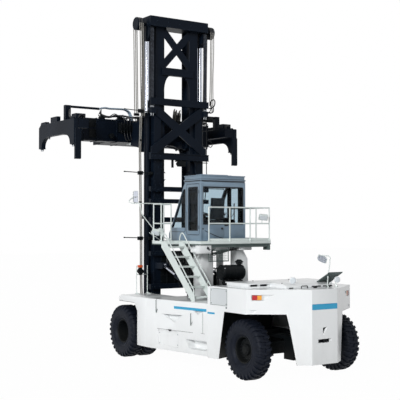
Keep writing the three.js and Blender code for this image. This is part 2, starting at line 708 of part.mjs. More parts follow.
// Telescopic beam: a hollow box with the end beam, its locks' legs and the guide arms.
function telescopicBeam(y0, closedEnd) {
  const low = boxBottom + boxWall + beamGap;
  const high = boxTop - boxWall - beamGap;
  const front = y0 + boxWall + beamGap;
  const back = y0 + boxDepth - boxWall - beamGap;
  const tube = cut(
    block([-closedEnd + boxWall + 40, endBeamInner + 1], [front, back], [low, high]),
    block([-closedEnd, endBeamInner - 40], [front + beamWall, back - beamWall],
      [low + beamWall, high - beamWall]),
  );
  const deepBottom = archApex + 140;
  const nose = spreaderY - lockY - noseOverhang;
  const tail = spreaderY + lockY + endBeamOverhang;
  const post = spreaderY + boxSpacing / 2 + boxDepth - 250;
  const shape = new THREE.Shape();
  shape.moveTo(nose, legBottom);
  shape.lineTo(nose, endBeamTop - 90);
  shape.lineTo(nose + 130, endBeamTop);
  shape.lineTo(tail, endBeamTop);
  shape.lineTo(tail, legBottom);
  const archRear = spreaderY + lockY - legHalf;
  const archFront = spreaderY - lockY + legHalf;
  shape.lineTo(archRear, legBottom);
  shape.quadraticCurveTo(archRear, archApex, archRear - archReach, archApex);
  shape.lineTo(archFront + archReach, archApex);
  shape.quadraticCurveTo(archFront, archApex, archFront, legBottom);
  const lockBore = (y) => bar([lockX, y, legBottom - 10], [lockX, y, legBottom + 190], lockRadius + pinGap, small);
  const guide = prism('x', [
    [tail - 20, endBeamTop - 300], [tail + 50, endBeamTop - 300], [tail + 60, guideBottom],
    [tail - 30, guideBottom], [tail - 20, guideBottom + 60],
  ], lockX - 130, lockX + 50);
  return cut(join(
    tube,
    prism('x', shape, endPlateInner, endBeamOuter),
    block([endBeamInner, endPlateInner + 1], [nose + 130, tail], [deepBottom, endBeamTop]),
    block([endBeamInner, endPlateInner + 1], [front, back], [archApex, deepBottom + 1]),
    guide,
    block([2700, 2880], [post - 70, post + 70], [endBeamTop - 1, 7500]),
    bar([2800, post, 7465], [1680, post, 7465], 38, small),
    block([endBeamInner + 20, 2860], [post + 450, post + 750], [endBeamTop - 1, 7180]),
    block([2860, 2980], [post - 800, post - 330], [endBeamTop - 1, 7180]),
    block([2860, 2980], [nose + 130, nose + 480], [endBeamTop - 1, 7080]),
  ), lockBore(spreaderY - lockY), lockBore(spreaderY + lockY));
}
add('spreader_beam_left', telescopicBeam(rearBoxY, rearBoxEnd), mastDark);
add('spreader_beam_right', turnedRound(telescopicBeam(frontBoxY, frontBoxEnd)), mastDark);

// Twistlocks: a pin in the leg and an oblong head below it.
for (const [place, y] of [['front', spreaderY - lockY], ['rear', spreaderY + lockY]]) {
  addPair(`twistlock_${place}`, join(
    bar([lockX, y, lockTip + 20], [lockX, y, legBottom + 180], lockRadius, small),
    prism('z', [[-lockHead, -26], [lockHead, -26], [lockHead, 26], [-lockHead, 26]]
      .map(([u, v]) => [lockX + v, y + u]), lockTip, lockTip + 55),
  ), chrome);
}

// ---- Platform, stairs and cab -------------------------------------------------------------
add('cab_support', join(
  ...both(prism('y', [
    [400, deckTop + joinGap], [840, deckTop + joinGap], [800, supportShoulder], [640, supportHead], [400, supportHead],
  ], ...supportY)),
  block([-950, 950], supportY, [supportHead - 10, platformBottom - joinGap]),
  ...both(block([320, 500], [750, 2450], [supportHead - 10, platformBottom - joinGap])),
  ...both(block([320, 480], [deckFront - bulkheadDepth, deckFront], [deckTop + joinGap, supportHead])),
), white);
add('platform', prism('z', [
  [platformRight, platformFront], [walkwayLeft, platformFront], [walkwayLeft, landingFront],
  [landingLeft, landingFront], [landingLeft, landingRear],
  [walkwayLeft, landingRear], [walkwayLeft, platformRear], [platformRight, platformRear],
], platformBottom, platformTop), paleGrey);
const railInset = 30;
function railing(points, posts, height) {
  const levels = [platformTop + midRailHeight, platformTop + height];
  const runs = levels.flatMap((z) => points.slice(1).map((to, i) =>
    bar([...points[i], z], [...to, z], tubeRadius, railSides)));
  const uprights = posts.map((p) =>
    bar([...p, platformTop + joinGap], [...p, platformTop + height + tubeRadius], tubeRadius, railSides));
  return join(runs, uprights);
}
const rightX = platformRight + railInset;
const rearY = platformRear - railInset;
const frontY = platformFront + railInset;
add('rear_guard_rail', railing(
  [[770, rearY], [rightX, rearY], [rightX, frontY]],
  [[770, rearY], [60, rearY], [-650, rearY], [rightX, rearY], [rightX, 1890], [rightX, 1260], [rightX, frontY]],
  railHeight,
), paleGrey);
const landingX = landingLeft - railInset;
const landingY = [landingFront + railInset, landingRear - railInset];
const walkwayX = walkwayLeft + railInset;
add('front_guard_rail', railing(
  [[walkwayX, landingY[0]], [landingX, landingY[0]], [landingX, landingY[1]]],
  [[walkwayX, landingY[0]], [landingX, landingY[0]], [landingX, landingY[1]]],
  frontRailHeight,
), paleGrey);

const stairRise = platformTop - deckTop;
const stringer = (x0, x1) => prism('x', [
  [stairTopY, platformTop - 20], [stairTopY + 230, platformTop - 20],
  [stairFootY + 60, deckTop + 150], [stairFootY + 60, deckTop + joinGap], [stairFootY - 150, deckTop + joinGap],
  [stairTopY, platformTop - 260],
], x0, x1);
const treads = Array.from({ length: stairCount }, (_, i) => {
  const share = (i + 0.5) / stairCount;
  const y = stairTopY + 60 + (stairFootY - stairTopY - 60) * share;
  const z = platformTop - stairRise * share;
  return block([stairInner + 1, stairOuter - 1], [y - 110, y + 110], [z - 60, z - 35]);
});
add('stairs', join(
  stringer(stairInner, stairInner + 25), stringer(stairOuter - 25, stairOuter), treads,
), paleGrey);

// Side view of the cab: upright at the back, with a slanted windscreen from the nose to the roof.
const screenSlope = (cabBrowY - cabNoseY) / (cabTop - cabNoseTop);
const screenY = (z) => cabNoseY + (z - cabNoseTop) * screenSlope;
const cabBase = platformTop + joinGap;
const cabProfile = (inset, low, high) => [
  [cabRear - inset, low], [cabNoseY + inset, low], [cabNoseY + inset, Math.max(low, cabNoseTop)],
  [screenY(high) + inset, high], [cabRear - inset, high],
];
const cabSolid = (inset, low, high) => {
  const outline = cabProfile(inset, low, high).filter(([y, z], i, all) =>
    i === 0 || y !== all[i - 1][0] || z !== all[i - 1][1]);
  return prism('x', outline, -cabHalf + inset, cabHalf - inset);
};
const glassInset = (cabWall - glassThickness) / 2;
const glassSkin = (grow) => cut(
  cabSolid(glassInset - grow, cabFloor, cabTop),
  cabSolid(glassInset + glassThickness + grow, cabFloor - 10, cabTop + 10),
  block([-cabHalf, cabHalf], [cabNoseY, cabRear], [cabFloor - 20, sillZ - 12 - grow]),
  block([-cabHalf, cabHalf], [cabNoseY, cabRear], [windowTop + 12 + grow, cabTop + 20]),
  block([cabHalf - cabWall - 60, cabHalf + 10], [doorFront - 60 + grow, cabRear - cabWall + 10 - grow],
    [sillZ - 20, windowTop + 20]),
);
const pillar = 80;
const sideWindowTop = windowTop - 150;
const sideWindow = prism('x', [
  [screenY(sillZ) + pillar + 20, sillZ], [doorFront - pillar, sillZ], [doorFront - pillar, sideWindowTop],
  [screenY(sideWindowTop) + pillar + 20, sideWindowTop],
], cabHalf - 80, cabHalf + 20);
const windscreen = prism('x', [
  [screenY(sillZ) - 60, sillZ], [screenY(sillZ) + 80, sillZ], [screenY(windowTop) + 80, windowTop],
  [screenY(windowTop) - 60, windowTop],
], -cabHalf + pillar, cabHalf - pillar);
const cabSkin = cut(
  cabSolid(0, cabBase, cabTop),
  cabSolid(cabWall, cabFloor, cabTop + 10),
  block([cabHalf - cabWall - 10, cabHalf + 10], [doorFront, doorRear], [doorBottom, doorTop]),
  block([-cabHalf + pillar, cabHalf - pillar], [cabRear - 80, cabRear + 20], [sillZ, windowTop]),
  block([-cabHalf - 20, -cabHalf + 80], [doorFront, cabRear - pillar], [sillZ, windowTop]),
  windscreen,
  ...both(sideWindow),
);
add('cab_shell', cut(cabSkin, glassSkin(joinGap)), cabGrey);
add('cab_glass', glassSkin(0), glass);
const doorY = [doorFront + runningGap, doorRear - runningGap];
const doorZ = [doorBottom + runningGap, doorTop - runningGap];
const doorX = [cabHalf - doorThickness, cabHalf];
const frameWidth = 85;
const doorWindow = (grow) => [
  [doorY[0] + frameWidth - grow, doorY[1] - frameWidth + grow],
  [doorZ[0] + 120 - grow, doorZ[1] - frameWidth + grow],
];
const paneX = [cabHalf - doorThickness / 2 - glassThickness / 2, cabHalf - doorThickness / 2 + glassThickness / 2];
add('cab_door', cut(
  join(
    block(doorX, doorY, doorZ),
    block([cabHalf - 1, cabHalf + 45], [doorY[0] + 20, doorY[0] + 45],
      [handleBottom, handleBottom + handleLength]),
  ),
  block([cabHalf - doorThickness - 5, cabHalf + 5], ...doorWindow(0)),
  block([paneX[0] - joinGap, paneX[1] + joinGap], ...doorWindow(10 + joinGap)),
), cabGrey);
add('door_glass', block(paneX, ...doorWindow(10)), glass);
add('cab_roof', join(
  block([-cabHalf + 20, cabHalf - 20], [cabBrowY - 20, cabRear - 20], [cabTop + joinGap, cabTop + 41]),
  block([-cabHalf, cabHalf], [cabBrowY - roofOverhang, cabRear + roofOverhang / 3],
    [cabTop + 40, cabTop + roofHeight]),
), cabGrey);
add('operator_seat', join(
  block([-260, 260], [1300, 1790], [cabFloor + 380, cabFloor + 500]),
  prism('x', [[1720, cabFloor + 480], [1840, cabFloor + 480], [1900, cabFloor + 1130], [1800, cabFloor + 1130]],
    -250, 250),
  block([-200, 200], [1380, 1760], [cabFloor + joinGap, cabFloor + 390]),
), seatBlack);
add('control_console', join(
  bar([0, 1050, cabFloor + 20], [0, 1105, cabFloor + 640], 60, small),
  bar([0, 1095, cabFloor + 620], [0, 1120, cabFloor + 665], 210),
  block([-180, 180], [970, 1090], [cabFloor + joinGap, cabFloor + 420]),
), seatBlack);
add('air_cleaner', join(
  bar([cleanerX[0], cleanerY, cleanerZ], [cleanerX[1], cleanerY, cleanerZ], cleanerRadius),
  bar([intakeX, cleanerY, cleanerZ + 90], [intakeX, cleanerY, cleanerZ + 320], 60, small),
  bar([intakeX, cleanerY, cleanerZ + 270], [intakeX, cleanerY, cleanerZ + 350], 120, round, 50),
  block([cleanerX[0], cleanerX[1] - 100], [cleanerY - 100, cleanerY + 100], [deckTop + joinGap, cleanerZ - 110]),
), ironBlack);

truck.position.y = -(tailY + spreaderY - lockY - noseOverhang) / 2;
export default truck;
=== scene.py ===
import math
import random

import bmesh
import bpy
from mathutils import Matrix, Vector


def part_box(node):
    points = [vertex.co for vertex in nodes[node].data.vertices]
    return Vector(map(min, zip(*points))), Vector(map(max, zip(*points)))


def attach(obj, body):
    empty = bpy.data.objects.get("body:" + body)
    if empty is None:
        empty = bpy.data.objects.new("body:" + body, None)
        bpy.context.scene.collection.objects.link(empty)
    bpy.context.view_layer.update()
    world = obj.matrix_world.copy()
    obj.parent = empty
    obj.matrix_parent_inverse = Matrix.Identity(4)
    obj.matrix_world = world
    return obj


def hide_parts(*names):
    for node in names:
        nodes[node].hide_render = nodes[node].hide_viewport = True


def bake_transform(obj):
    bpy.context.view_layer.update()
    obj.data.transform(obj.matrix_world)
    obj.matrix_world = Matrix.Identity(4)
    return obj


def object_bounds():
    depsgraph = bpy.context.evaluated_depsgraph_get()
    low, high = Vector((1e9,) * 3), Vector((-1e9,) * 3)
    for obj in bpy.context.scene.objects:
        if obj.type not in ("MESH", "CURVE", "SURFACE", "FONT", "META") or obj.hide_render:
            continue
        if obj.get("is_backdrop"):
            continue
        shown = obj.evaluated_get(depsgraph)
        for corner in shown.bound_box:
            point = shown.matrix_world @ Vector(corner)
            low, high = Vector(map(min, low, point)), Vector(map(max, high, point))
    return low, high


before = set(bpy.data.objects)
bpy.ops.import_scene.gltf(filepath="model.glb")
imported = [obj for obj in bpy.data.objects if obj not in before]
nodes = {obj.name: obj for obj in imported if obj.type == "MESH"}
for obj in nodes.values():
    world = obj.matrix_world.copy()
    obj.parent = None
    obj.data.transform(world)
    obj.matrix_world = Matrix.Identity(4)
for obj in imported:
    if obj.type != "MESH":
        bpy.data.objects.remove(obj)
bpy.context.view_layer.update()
dice = random.Random(7)

# Every position below is in metres with Y from the drive axle's centre line, as in the CAD.
wheel_low, wheel_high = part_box("front_wheel_left")
AXLE_Y = (wheel_low.y + wheel_high.y) / 2
GROUND_TO_AXLE = (wheel_low.z + wheel_high.z) / 2
SIDES = {"left": 1, "right": -1}


# ---- Making shapes --------------------------------------------------------------------------
def rounded(points, radius, steps=5):
    """A run of straight lengths with its corners turned on short curves."""
    points = [Vector(p) for p in points]
    path = [points[0]]
    for before, corner, after in zip(points, points[1:], points[2:]):
        back, on = before - corner, after - corner
        reach = min(radius, back.length * 0.45, on.length * 0.45)
        start, end = corner + back.normalized() * reach, corner + on.normalized() * reach
        for i in range(steps + 1):
            t = i / steps
            path.append(start.lerp(corner, t).lerp(corner.lerp(end, t), t))
    return path + [points[-1]]


def around(count, ahead=0.0):
    """The angles of this many even steps round a circle."""
    return [2 * math.pi * (k + ahead) / count for k in range(count)]


def apart(sign, near, far):
    """A span along X on the side the sign gives, its lower end first."""
    return sorted((sign * near, sign * far))


def flowing(points, steps=6):
    """A smooth line through its points, as a hose lies."""
    points = [Vector(p) for p in points]
    ends = [points[0] * 2 - points[1], *points, points[-1] * 2 - points[-2]]
    path = []
    for a, b, c, d in zip(ends, ends[1:], ends[2:], ends[3:]):
        for i in range(steps):
            t = i / steps
            path.append(((b * 2) + (c - a) * t + (a * 2 - b * 5 + c * 4 - d) * t * t
                         + (b * 3 - a - c * 3 + d) * t ** 3) / 2)
    return path + [points[-1]]


class Shape:
    """Closed solids collected into one piece."""

    def __init__(self):
        self.mesh = bmesh.new()

    def _soften(self, verts, edge, steps=2):
        if edge <= 0:
            return self
        edges = dict.fromkeys(e for v in verts for e in v.link_edges
                              if len(e.link_faces) == 2 and e.calc_face_angle(0) > 0.35)
        bmesh.ops.bevel(self.mesh, geom=list(edges), offset=edge, segments=steps, profile=0.5,
                        affect="EDGES", clamp_overlap=True)
        return self

    def lofted(self, loops, ring=False):
        """Joins loops of vertices in turn, and the last to the first where they run in a ring."""
        for one, two in zip(loops, loops[1:] + loops[:1] if ring else loops[1:]):
            for i in range(len(one)):
                n = (i + 1) % len(one)
                self.mesh.faces.new((one[i], one[n], two[n], two[i]))
        return self

    def closed(self, *ends):
        """Closes a shape with a face on each of the loops."""
        for loop in ends:
            self.mesh.faces.new(loop)
        return self

    def block(self, x, y, z, edge=0.006):
        """A block from its spans along the three axes, with rounded edges."""
        size = Vector((x[1] - x[0], y[1] - y[0], z[1] - z[0]))
        middle = Vector((x[1] + x[0], y[1] + y[0], z[1] + z[0])) / 2
        made = bmesh.ops.create_cube(self.mesh, size=1, matrix=Matrix.Translation(middle)
                                     @ Matrix.Diagonal((*size, 1)))
        return self._soften(made["verts"], min(edge, min(map(abs, size)) * 0.3))

    def plate(self, axis, outline, low, high, edge=0.004):
        """An outline extruded along one axis: (Y, Z) along x, (X, Z) along y, (X, Y) along z."""
        place = {"x": lambda u, v, w: (w, u, v), "y": lambda u, v, w: (u, w, v),
                 "z": lambda u, v, w: (u, v, w)}[axis]
        ends = [[self.mesh.verts.new(place(u, v, w)) for u, v in outline] for w in (low, high)]
        self.closed(ends[0], ends[1][::-1])
        count = len(outline)
        for i in range(count):
            k = (i + 1) % count
            self.mesh.faces.new((ends[0][i], ends[1][i], ends[1][k], ends[0][k]))
        return self._soften(ends[0] + ends[1], min(edge, abs(high - low) * 0.3))

    def bar(self, start, end, radius, end_radius=None, sides=20, edge=0.0):
        """A round bar between two points, or a cone where the end has its own radius."""
        start, end = Vector(start), Vector(end)
        along = end - start
        turn = Vector((0, 0, 1)).rotation_difference(along).to_matrix().to_4x4()
        made = bmesh.ops.create_cone(
            self.mesh, cap_ends=True, segments=sides, radius1=radius,
            radius2=radius if end_radius is None else end_radius, depth=along.length,
            matrix=Matrix.Translation((start + end) / 2) @ turn)
        return self._soften(made["verts"], edge) if edge else self

    def ball(self, at, radius, stretch=(1, 1, 1), detail=12):
        """A ball, or an egg where it is stretched."""
        bmesh.ops.create_uvsphere(
            self.mesh, u_segments=detail * 2, v_segments=detail, radius=radius,
            matrix=Matrix.Translation(at) @ Matrix.Diagonal((*stretch, 1)))
        return self

    def pipe(self, path, radius, sides=8):
        """A round tube along a path, without twist."""
        path = [Vector(p) for p in path]
        rings, normal = [], Vector((0.31, 0.52, 0.79))
        for i, point in enumerate(path):
            along = (path[min(i + 1, len(path) - 1)] - path[max(i - 1, 0)]).normalized()
            normal = (normal - along * normal.dot(along)).normalized()
            across = along.cross(normal)
            rings.append([self.mesh.verts.new(
                point + (normal * math.cos(a) + across * math.sin(a)) * radius) for a in around(sides)])
        return self.lofted(rings).closed(rings[0][::-1], rings[-1])

    def turned(self, profile, x=0.0, y=0.0, z=GROUND_TO_AXLE, sides=64):
        """A closed profile of (distance along X, radius) turned round the X axis."""
        return self.lofted([[self.mesh.verts.new((x + along, y + radius * math.sin(a),
                                                  z + radius * math.cos(a)))
                             for along, radius in profile] for a in around(sides)], ring=True)

    def bolt(self, at, axis, size=0.018, height=0.012):
        """A hexagon head on its washer, standing out along an axis."""
        at, axis = Vector(at), Vector(axis).normalized()
        self.bar(at, at + axis * height * 0.25, size * 1.35, sides=14)
        return self.bar(at, at + axis * height, size, size * 0.93, sides=6)

    def spread(self, part, places):
        """The same small shape at each of these places."""
        kept = bpy.data.meshes.new("kept")
        part.mesh.to_mesh(kept)
        for place in places:
            copy = kept.copy()
            copy.transform(place)
            self.mesh.from_mesh(copy)
            bpy.data.meshes.remove(copy)
        bpy.data.meshes.remove(kept)
        part.mesh.free()
        return self

    def mirrored(self):
        other = Shape()
        other.mesh = self.mesh.copy()
        bmesh.ops.scale(other.mesh, vec=(-1, 1, 1), verts=other.mesh.verts)
        bmesh.ops.reverse_faces(other.mesh, faces=other.mesh.faces)
        return other

    def on(self, side):
        """The shape itself on the left, its mirror image on the right."""
        return self if side == "left" else self.mirrored()

    def object(self, name):
        """Turns the shape into a piece of the scene, in the row's frame."""
        bmesh.ops.recalc_face_normals(self.mesh, faces=self.mesh.faces)
        bmesh.ops.translate(self.mesh, vec=(0, AXLE_Y, 0), verts=self.mesh.verts)
        data = bpy.data.meshes.new(name)
        self.mesh.to_mesh(data)
        self.mesh.free()
        piece = bpy.data.objects.new(name, data)
        bpy.context.scene.collection.objects.link(piece)
        return piece


def smooth(piece, angle=32):
    """Smooth shading with sharp lines where faces meet at more than this angle."""
    piece.data.shade_smooth()
    piece.data.set_sharp_from_angle(angle=math.radians(angle))


def fit(piece, body, finish, replaces=(), angle=32):
    """Paints a piece, rounds its shading and lets it ride on its body."""
    piece.data.materials.clear()
    piece.data.materials.append(finish.material)
    smooth(piece, angle)
    if body:
        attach(piece, body)
    if replaces:
        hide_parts(*replaces)
    return piece


def make(name, shape, body, finish, replaces=(), angle=32):
    """Turns a shape into a finished piece that rides on a body."""
    return fit(shape.object(name), body, finish, replaces, angle)


def copy_of(node, name, whole=True):
    """A new piece with a CAD node's mesh. Its flat faces are made whole again unless they have holes."""
    work = bmesh.new()
    work.from_mesh(nodes[node].data)
    bmesh.ops.remove_doubles(work, verts=work.verts, dist=2e-5)
    if whole:
        bmesh.ops.dissolve_limit(work, angle_limit=math.radians(0.6), verts=work.verts, edges=work.edges)
    data = bpy.data.meshes.new(name)
    work.to_mesh(data)
    work.free()
    piece = bpy.data.objects.new(name, data)
    bpy.context.scene.collection.objects.link(piece)
    return piece


def settled(piece):
    """Works a piece's modifiers into its mesh."""
    graph = bpy.context.evaluated_depsgraph_get()
    data = bpy.data.meshes.new_from_object(piece.evaluated_get(graph))
    piece.modifiers.clear()
    piece.data = data
    return piece


def carve(piece, *shapes):
    """Cuts real pockets into a piece."""
    for shape in shapes:
        tool = shape.object("cutter")
        change = piece.modifiers.new("pocket", "BOOLEAN")
        change.operation, change.solver, change.object = "DIFFERENCE", "EXACT", tool
        settled(piece)
        bpy.data.objects.remove(tool)
    return piece


def soft_edges(piece, width, steps=2):
    """Rounds a piece's edges."""
    change = piece.modifiers.new("edge", "BEVEL")
    change.width, change.segments = width, steps
    change.limit_method, change.angle_limit = "ANGLE", math.radians(28)
    change.use_clamp_overlap = False
    return settled(piece)


def softened(node, name, width, body, finish, whole=True):
    """A CAD piece carried over with its edges rounded and its own finish."""
    return fit(soft_edges(copy_of(node, name, whole), width), body, finish, [node])


def line(piece, finish, inside):
    """Gives the faces for which inside(centre, normal) is true a finish of their own."""
    piece.data.materials.append(finish.material)
    for face in piece.data.polygons:
        if inside(face.center - Vector((0, AXLE_Y, 0)), face.normal):
            face.material_index = len(piece.data.materials) - 1


# ---- Finishes -------------------------------------------------------------------------------
def rgb(red, green, blue):
    """A colour given as it shows, from 0 to 255, as the shader wants it."""
    return (*(((c / 255 + 0.055) / 1.055) ** 2.4 if c > 10 else c / 255 / 12.92
              for c in (red, green, blue)), 1.0)


class Value:
    """A socket of a finish. Arithmetic on it adds the finish's own Math nodes."""

    def __init__(self, finish, socket):
        self.finish, self.socket = finish, socket

    def math(self, operation, first, second=None, clamp=False):
        """One Math node of the finish, fed with sockets or plain numbers."""
        inputs = {0: first} if second is None else {0: first, 1: second}
        return self.finish.node("ShaderNodeMath", {"operation": operation, "use_clamp": clamp}, inputs)

    def __add__(self, other):
        return self.math("ADD", self, other)

    def __sub__(self, other):
        return self.math("SUBTRACT", self, other)

    def __rsub__(self, other):
        return self.math("SUBTRACT", other, self)

    def __mul__(self, other):
        return self.math("MULTIPLY", self, other)

    def __truediv__(self, other):
        return self.math("DIVIDE", self, other)

    def __pow__(self, other):
        return self.math("POWER", self, other)

    def held(self):
        """Kept between 0 and 1."""
        return self.math("ADD", self, 0.0, clamp=True)

    __radd__ = __add__
    __rmul__ = __mul__


class Finish:
    """One procedural material. Fixed values sit on the shader's own sockets."""

    def __init__(self, name, colour, roughness=0.5, **fixed):
        self.material = bpy.data.materials.new(name)
        self.material.use_nodes = True
        self.tree = self.material.node_tree
        self.tree.nodes.clear()
        self.shader = self.tree.nodes.new("ShaderNodeBsdfPrincipled")
        output = self.tree.nodes.new("ShaderNodeOutputMaterial")
        self.tree.links.new(self.shader.outputs[0], output.inputs[0])
        self.shader.inputs["Base Color"].default_value = colour
        self.shader.inputs["Roughness"].default_value = roughness
        for socket, value in fixed.items():
            self.shader.inputs[socket.replace("_", " ")].default_value = value
        self.place = self.node("ShaderNodeTexCoord", {}, {}, "Object")
        split = self.node("ShaderNodeSeparateXYZ", {}, {0: self.place}, None)
        self.x, self.y, self.z = (Value(self, s) for s in split.outputs)

    def node(self, kind, settings, inputs, output=0):
        """A node with its settings and inputs. Gives the output named, or the node if it is None."""
        made = self.tree.nodes.new(kind)
        for name, value in settings.items():
            if name == "stops":
                ramp = made.color_ramp.elements
                while len(ramp) < len(value):
                    ramp.new(0.5)
                for stop, (at, colour) in zip(ramp, value):
                    stop.position, stop.color = at, colour
            else:
                setattr(made, name, value)
        for name, value in inputs.items():
            if isinstance(value, Value):
                self.tree.links.new(value.socket, made.inputs[name])
            else:
                made.inputs[name].default_value = value
        return made if output is None else Value(self, made.outputs[output])

    def give(self, socket, value):
        """Feeds one of the shader's sockets."""
        self.tree.links.new(value.socket, self.shader.inputs[socket])
        return self

    def noise(self, scale, detail=3.0, roughness=0.55, stretch=None):
        """Soft random patches over the piece's own coordinates."""
        place = self.place
        if stretch:
            place = self.node("ShaderNodeMapping", {}, {"Vector": place, "Scale": stretch})
        return self.node("ShaderNodeTexNoise", {}, {
            "Vector": place, "Scale": scale, "Detail": detail, "Roughness": roughness})

    def mix(self, amount, first, second):
        """A colour between two others."""
        return self.node("ShaderNodeMix", {"data_type": "RGBA"}, {0: amount, 6: first, 7: second}, 2)

    def edges(self, radius):
        """Near 1 where the surface turns within this distance, 0 on the flat."""
        turned = self.node("ShaderNodeBevel", {"samples": 4}, {"Radius": radius})
        true = self.node("ShaderNodeNewGeometry", {}, {}, "Normal")
        return 1 - self.node("ShaderNodeVectorMath", {"operation": "DOT_PRODUCT"},
                             {0: turned, 1: true}, "Value")

    def bump(self, height, strength, distance):
        """Raises the surface by a height that varies."""
        return self.give("Normal", self.node(
            "ShaderNodeBump", {}, {"Strength": strength, "Distance": distance, "Height": height}))


def enamel(name, colour, shade, roughness, wear=0.0, bare=rgb(120, 118, 112), grime=0.0, grime_from=1.6,
           peel=0.12, **fixed):
    """Sprayed paint: faint patches, dust gathered low down, rubbed edges and orange peel."""
    made = Finish(name, colour, roughness, **fixed)
    patches = made.noise(1.3, 4.0)
    fine = made.noise(38.0, 2.0)
    tone = made.mix((patches * 1.5 - 0.25).held(), colour, shade)
    if grime:
        streaks = made.noise(5.0, 5.0, 0.65, (1.0, 1.0, 0.25))
        low = ((grime_from - made.z) / grime_from).held()
        tone = made.mix((low ** 1.6 * streaks * grime).held(), tone, rgb(128, 122, 110))
    if wear:
        rubbed = ((made.edges(0.01) * 14 - 0.4) * (made.noise(9.0, 5.0, 0.7) * 3 - 1.1)).held()
        tone = made.mix((rubbed * wear).held(), tone, bare)
    made.give("Base Color", tone)
    made.give("Roughness", fine * 0.08 + patches * 0.1 + (roughness - 0.09))
    return made.bump(made.noise(260.0, 1.0), peel, 0.0006)


white = enamel("white_enamel", rgb(240, 242, 243), rgb(233, 236, 237), 0.3, 0.25, bare=rgb(190, 190, 186),
               grime=0.5, Coat_Weight=0.35, Coat_Roughness=0.12)
pale = enamel("pale_grey_enamel", rgb(226, 233, 231), rgb(208, 218, 215), 0.38, 0.3,
              bare=rgb(150, 152, 148), Coat_Weight=0.15)
# A darker grey-green: the paint of the grips, plate rims, tail shield and screen, and also painted shade on
# the platform's underside, its underframe and the column's faces beneath it. Dust gathers on it low down.
grey_and_painted_shade = enamel("grey_paint_and_painted_shade", rgb(86, 100, 98), rgb(66, 79, 78), 0.6, grime=0.3)
cab_blue = enamel("cab_blue_grey", rgb(122, 143, 160), rgb(106, 127, 145), 0.36, 0.25,
                  bare=rgb(168, 178, 190), Coat_Weight=0.2)
navy = enamel("mast_navy", rgb(15, 24, 36), rgb(7, 13, 22), 0.42, 0.4, bare=rgb(64, 76, 90), peel=0.18,
              Specular_IOR_Level=0.08)
iron = enamel("black_iron", rgb(11, 15, 18), rgb(5, 8, 10), 0.5, 0.3, bare=rgb(70, 74, 78), grime=0.1,
              grime_from=1.2, Specular_IOR_Level=0.1)
gutter = enamel("dark_trim", rgb(16, 19, 26), rgb(10, 12, 18), 0.6)
cyan = enamel("cyan_stripe", rgb(28, 160, 203), rgb(22, 148, 194), 0.35, Coat_Weight=0.3)
label = enamel("blank_label", rgb(214, 218, 220), rgb(202, 207, 210), 0.45)


def rubber_finish():
    """Tyre rubber with a little dust and a fine bump."""
    made = Finish("tyre_rubber", rgb(6, 11, 22), 0.7, Specular_IOR_Level=0.16)
    dust = made.noise(7.0, 5.0, 0.7)
    low = (dust * 2.4 - 0.95).held()
    made.give("Base Color", made.mix(low * 0.2, rgb(6, 11, 22), rgb(38, 47, 64)))
    made.give("Roughness", made.noise(40.0) * 0.2 + 0.5)
    return made.bump(made.noise(90.0, 4.0), 0.35, 0.002)


def chrome_finish():
    """Hard chrome with a thin, uneven film of oil."""
    made = Finish("chrome_rod", rgb(214, 219, 228), 0.12, Metallic=1.0)
    oil = made.noise(2.2, 3.0, 0.6, (8.0, 8.0, 0.6))
    made.give("Base Color", made.mix((oil * 1.6 - 0.5).held(), rgb(222, 226, 236), rgb(164, 172, 190)))
    made.give("Roughness", oil * 0.14 + 0.08)
    return made


def hose_finish(name, colour, band):
    """Wrapped hydraulic hose with a fine helical rib."""
    made = Finish(name, colour, 0.6)
    rib = made.node("ShaderNodeTexWave", {"bands_direction": "Z"},
                    {"Vector": made.place, "Scale": 22.0, "Distortion": 0.6})
    made.give("Base Color", made.mix((rib * 0.7 + made.noise(14.0) * 0.4).held(), colour, band))
    made.give("Roughness", made.noise(25.0) * 0.2 + 0.45)
    return made.bump(rib, 0.4, 0.002)


def chain_finish():
    """Steel chain with grease in patches."""
    made = Finish("greased_chain", rgb(44, 47, 52), 0.38, Metallic=0.85)
    grease = made.noise(18.0, 4.0, 0.6)
    made.give("Base Color", made.mix((grease * 2 - 0.5).held(), rgb(72, 77, 86), rgb(20, 21, 24)))
    made.give("Roughness", grease * 0.35 + 0.22)
    return made


def vinyl_finish():
    """Grained black seat vinyl."""
    made = Finish("seat_vinyl", rgb(22, 22, 25), 0.55, Sheen_Weight=0.15)
    grain = made.node("ShaderNodeTexVoronoi", {"feature": "DISTANCE_TO_EDGE"},
                      {"Vector": made.place, "Scale": 180.0})
    soft = made.noise(6.0, 3.0)
    made.give("Base Color", made.mix(soft, rgb(20, 20, 23), rgb(33, 33, 37)))
    made.give("Roughness", soft * 0.2 + 0.45)
    return made.bump(grain, 0.35, 0.0015)


def lens_finish(name, colour, deep):
    """A moulded lamp lens with fine flutes."""
    made = Finish(name, colour, 0.3, Coat_Weight=0.12)
    flutes = made.node("ShaderNodeTexWave", {"bands_direction": "Z"}, {"Vector": made.place, "Scale": 30.0})
    made.give("Base Color", made.mix(flutes * 0.5, colour, deep))
    return made.bump(flutes, 0.3, 0.002)


def glass_finish():
    """Thin, slightly blue cab glass. The low index keeps its mirror image faint."""
    made = Finish("cab_glass", rgb(206, 219, 226), 0.02, Transmission_Weight=1.0, IOR=1.13)
    made.give("Roughness", (made.noise(3.0, 4.0) * 0.08 - 0.02).held())
    return made


def polished_finish():
    """Brushed, zinc plated steel for fittings and nuts."""
    made = Finish("plated_steel", rgb(180, 184, 188), 0.3, Metallic=0.9)
    rub = made.noise(30.0, 4.0)
    made.give("Base Color", made.mix(rub, rgb(196, 200, 204), rgb(132, 136, 142)))
    made.give("Roughness", rub * 0.25 + 0.2)
    return made


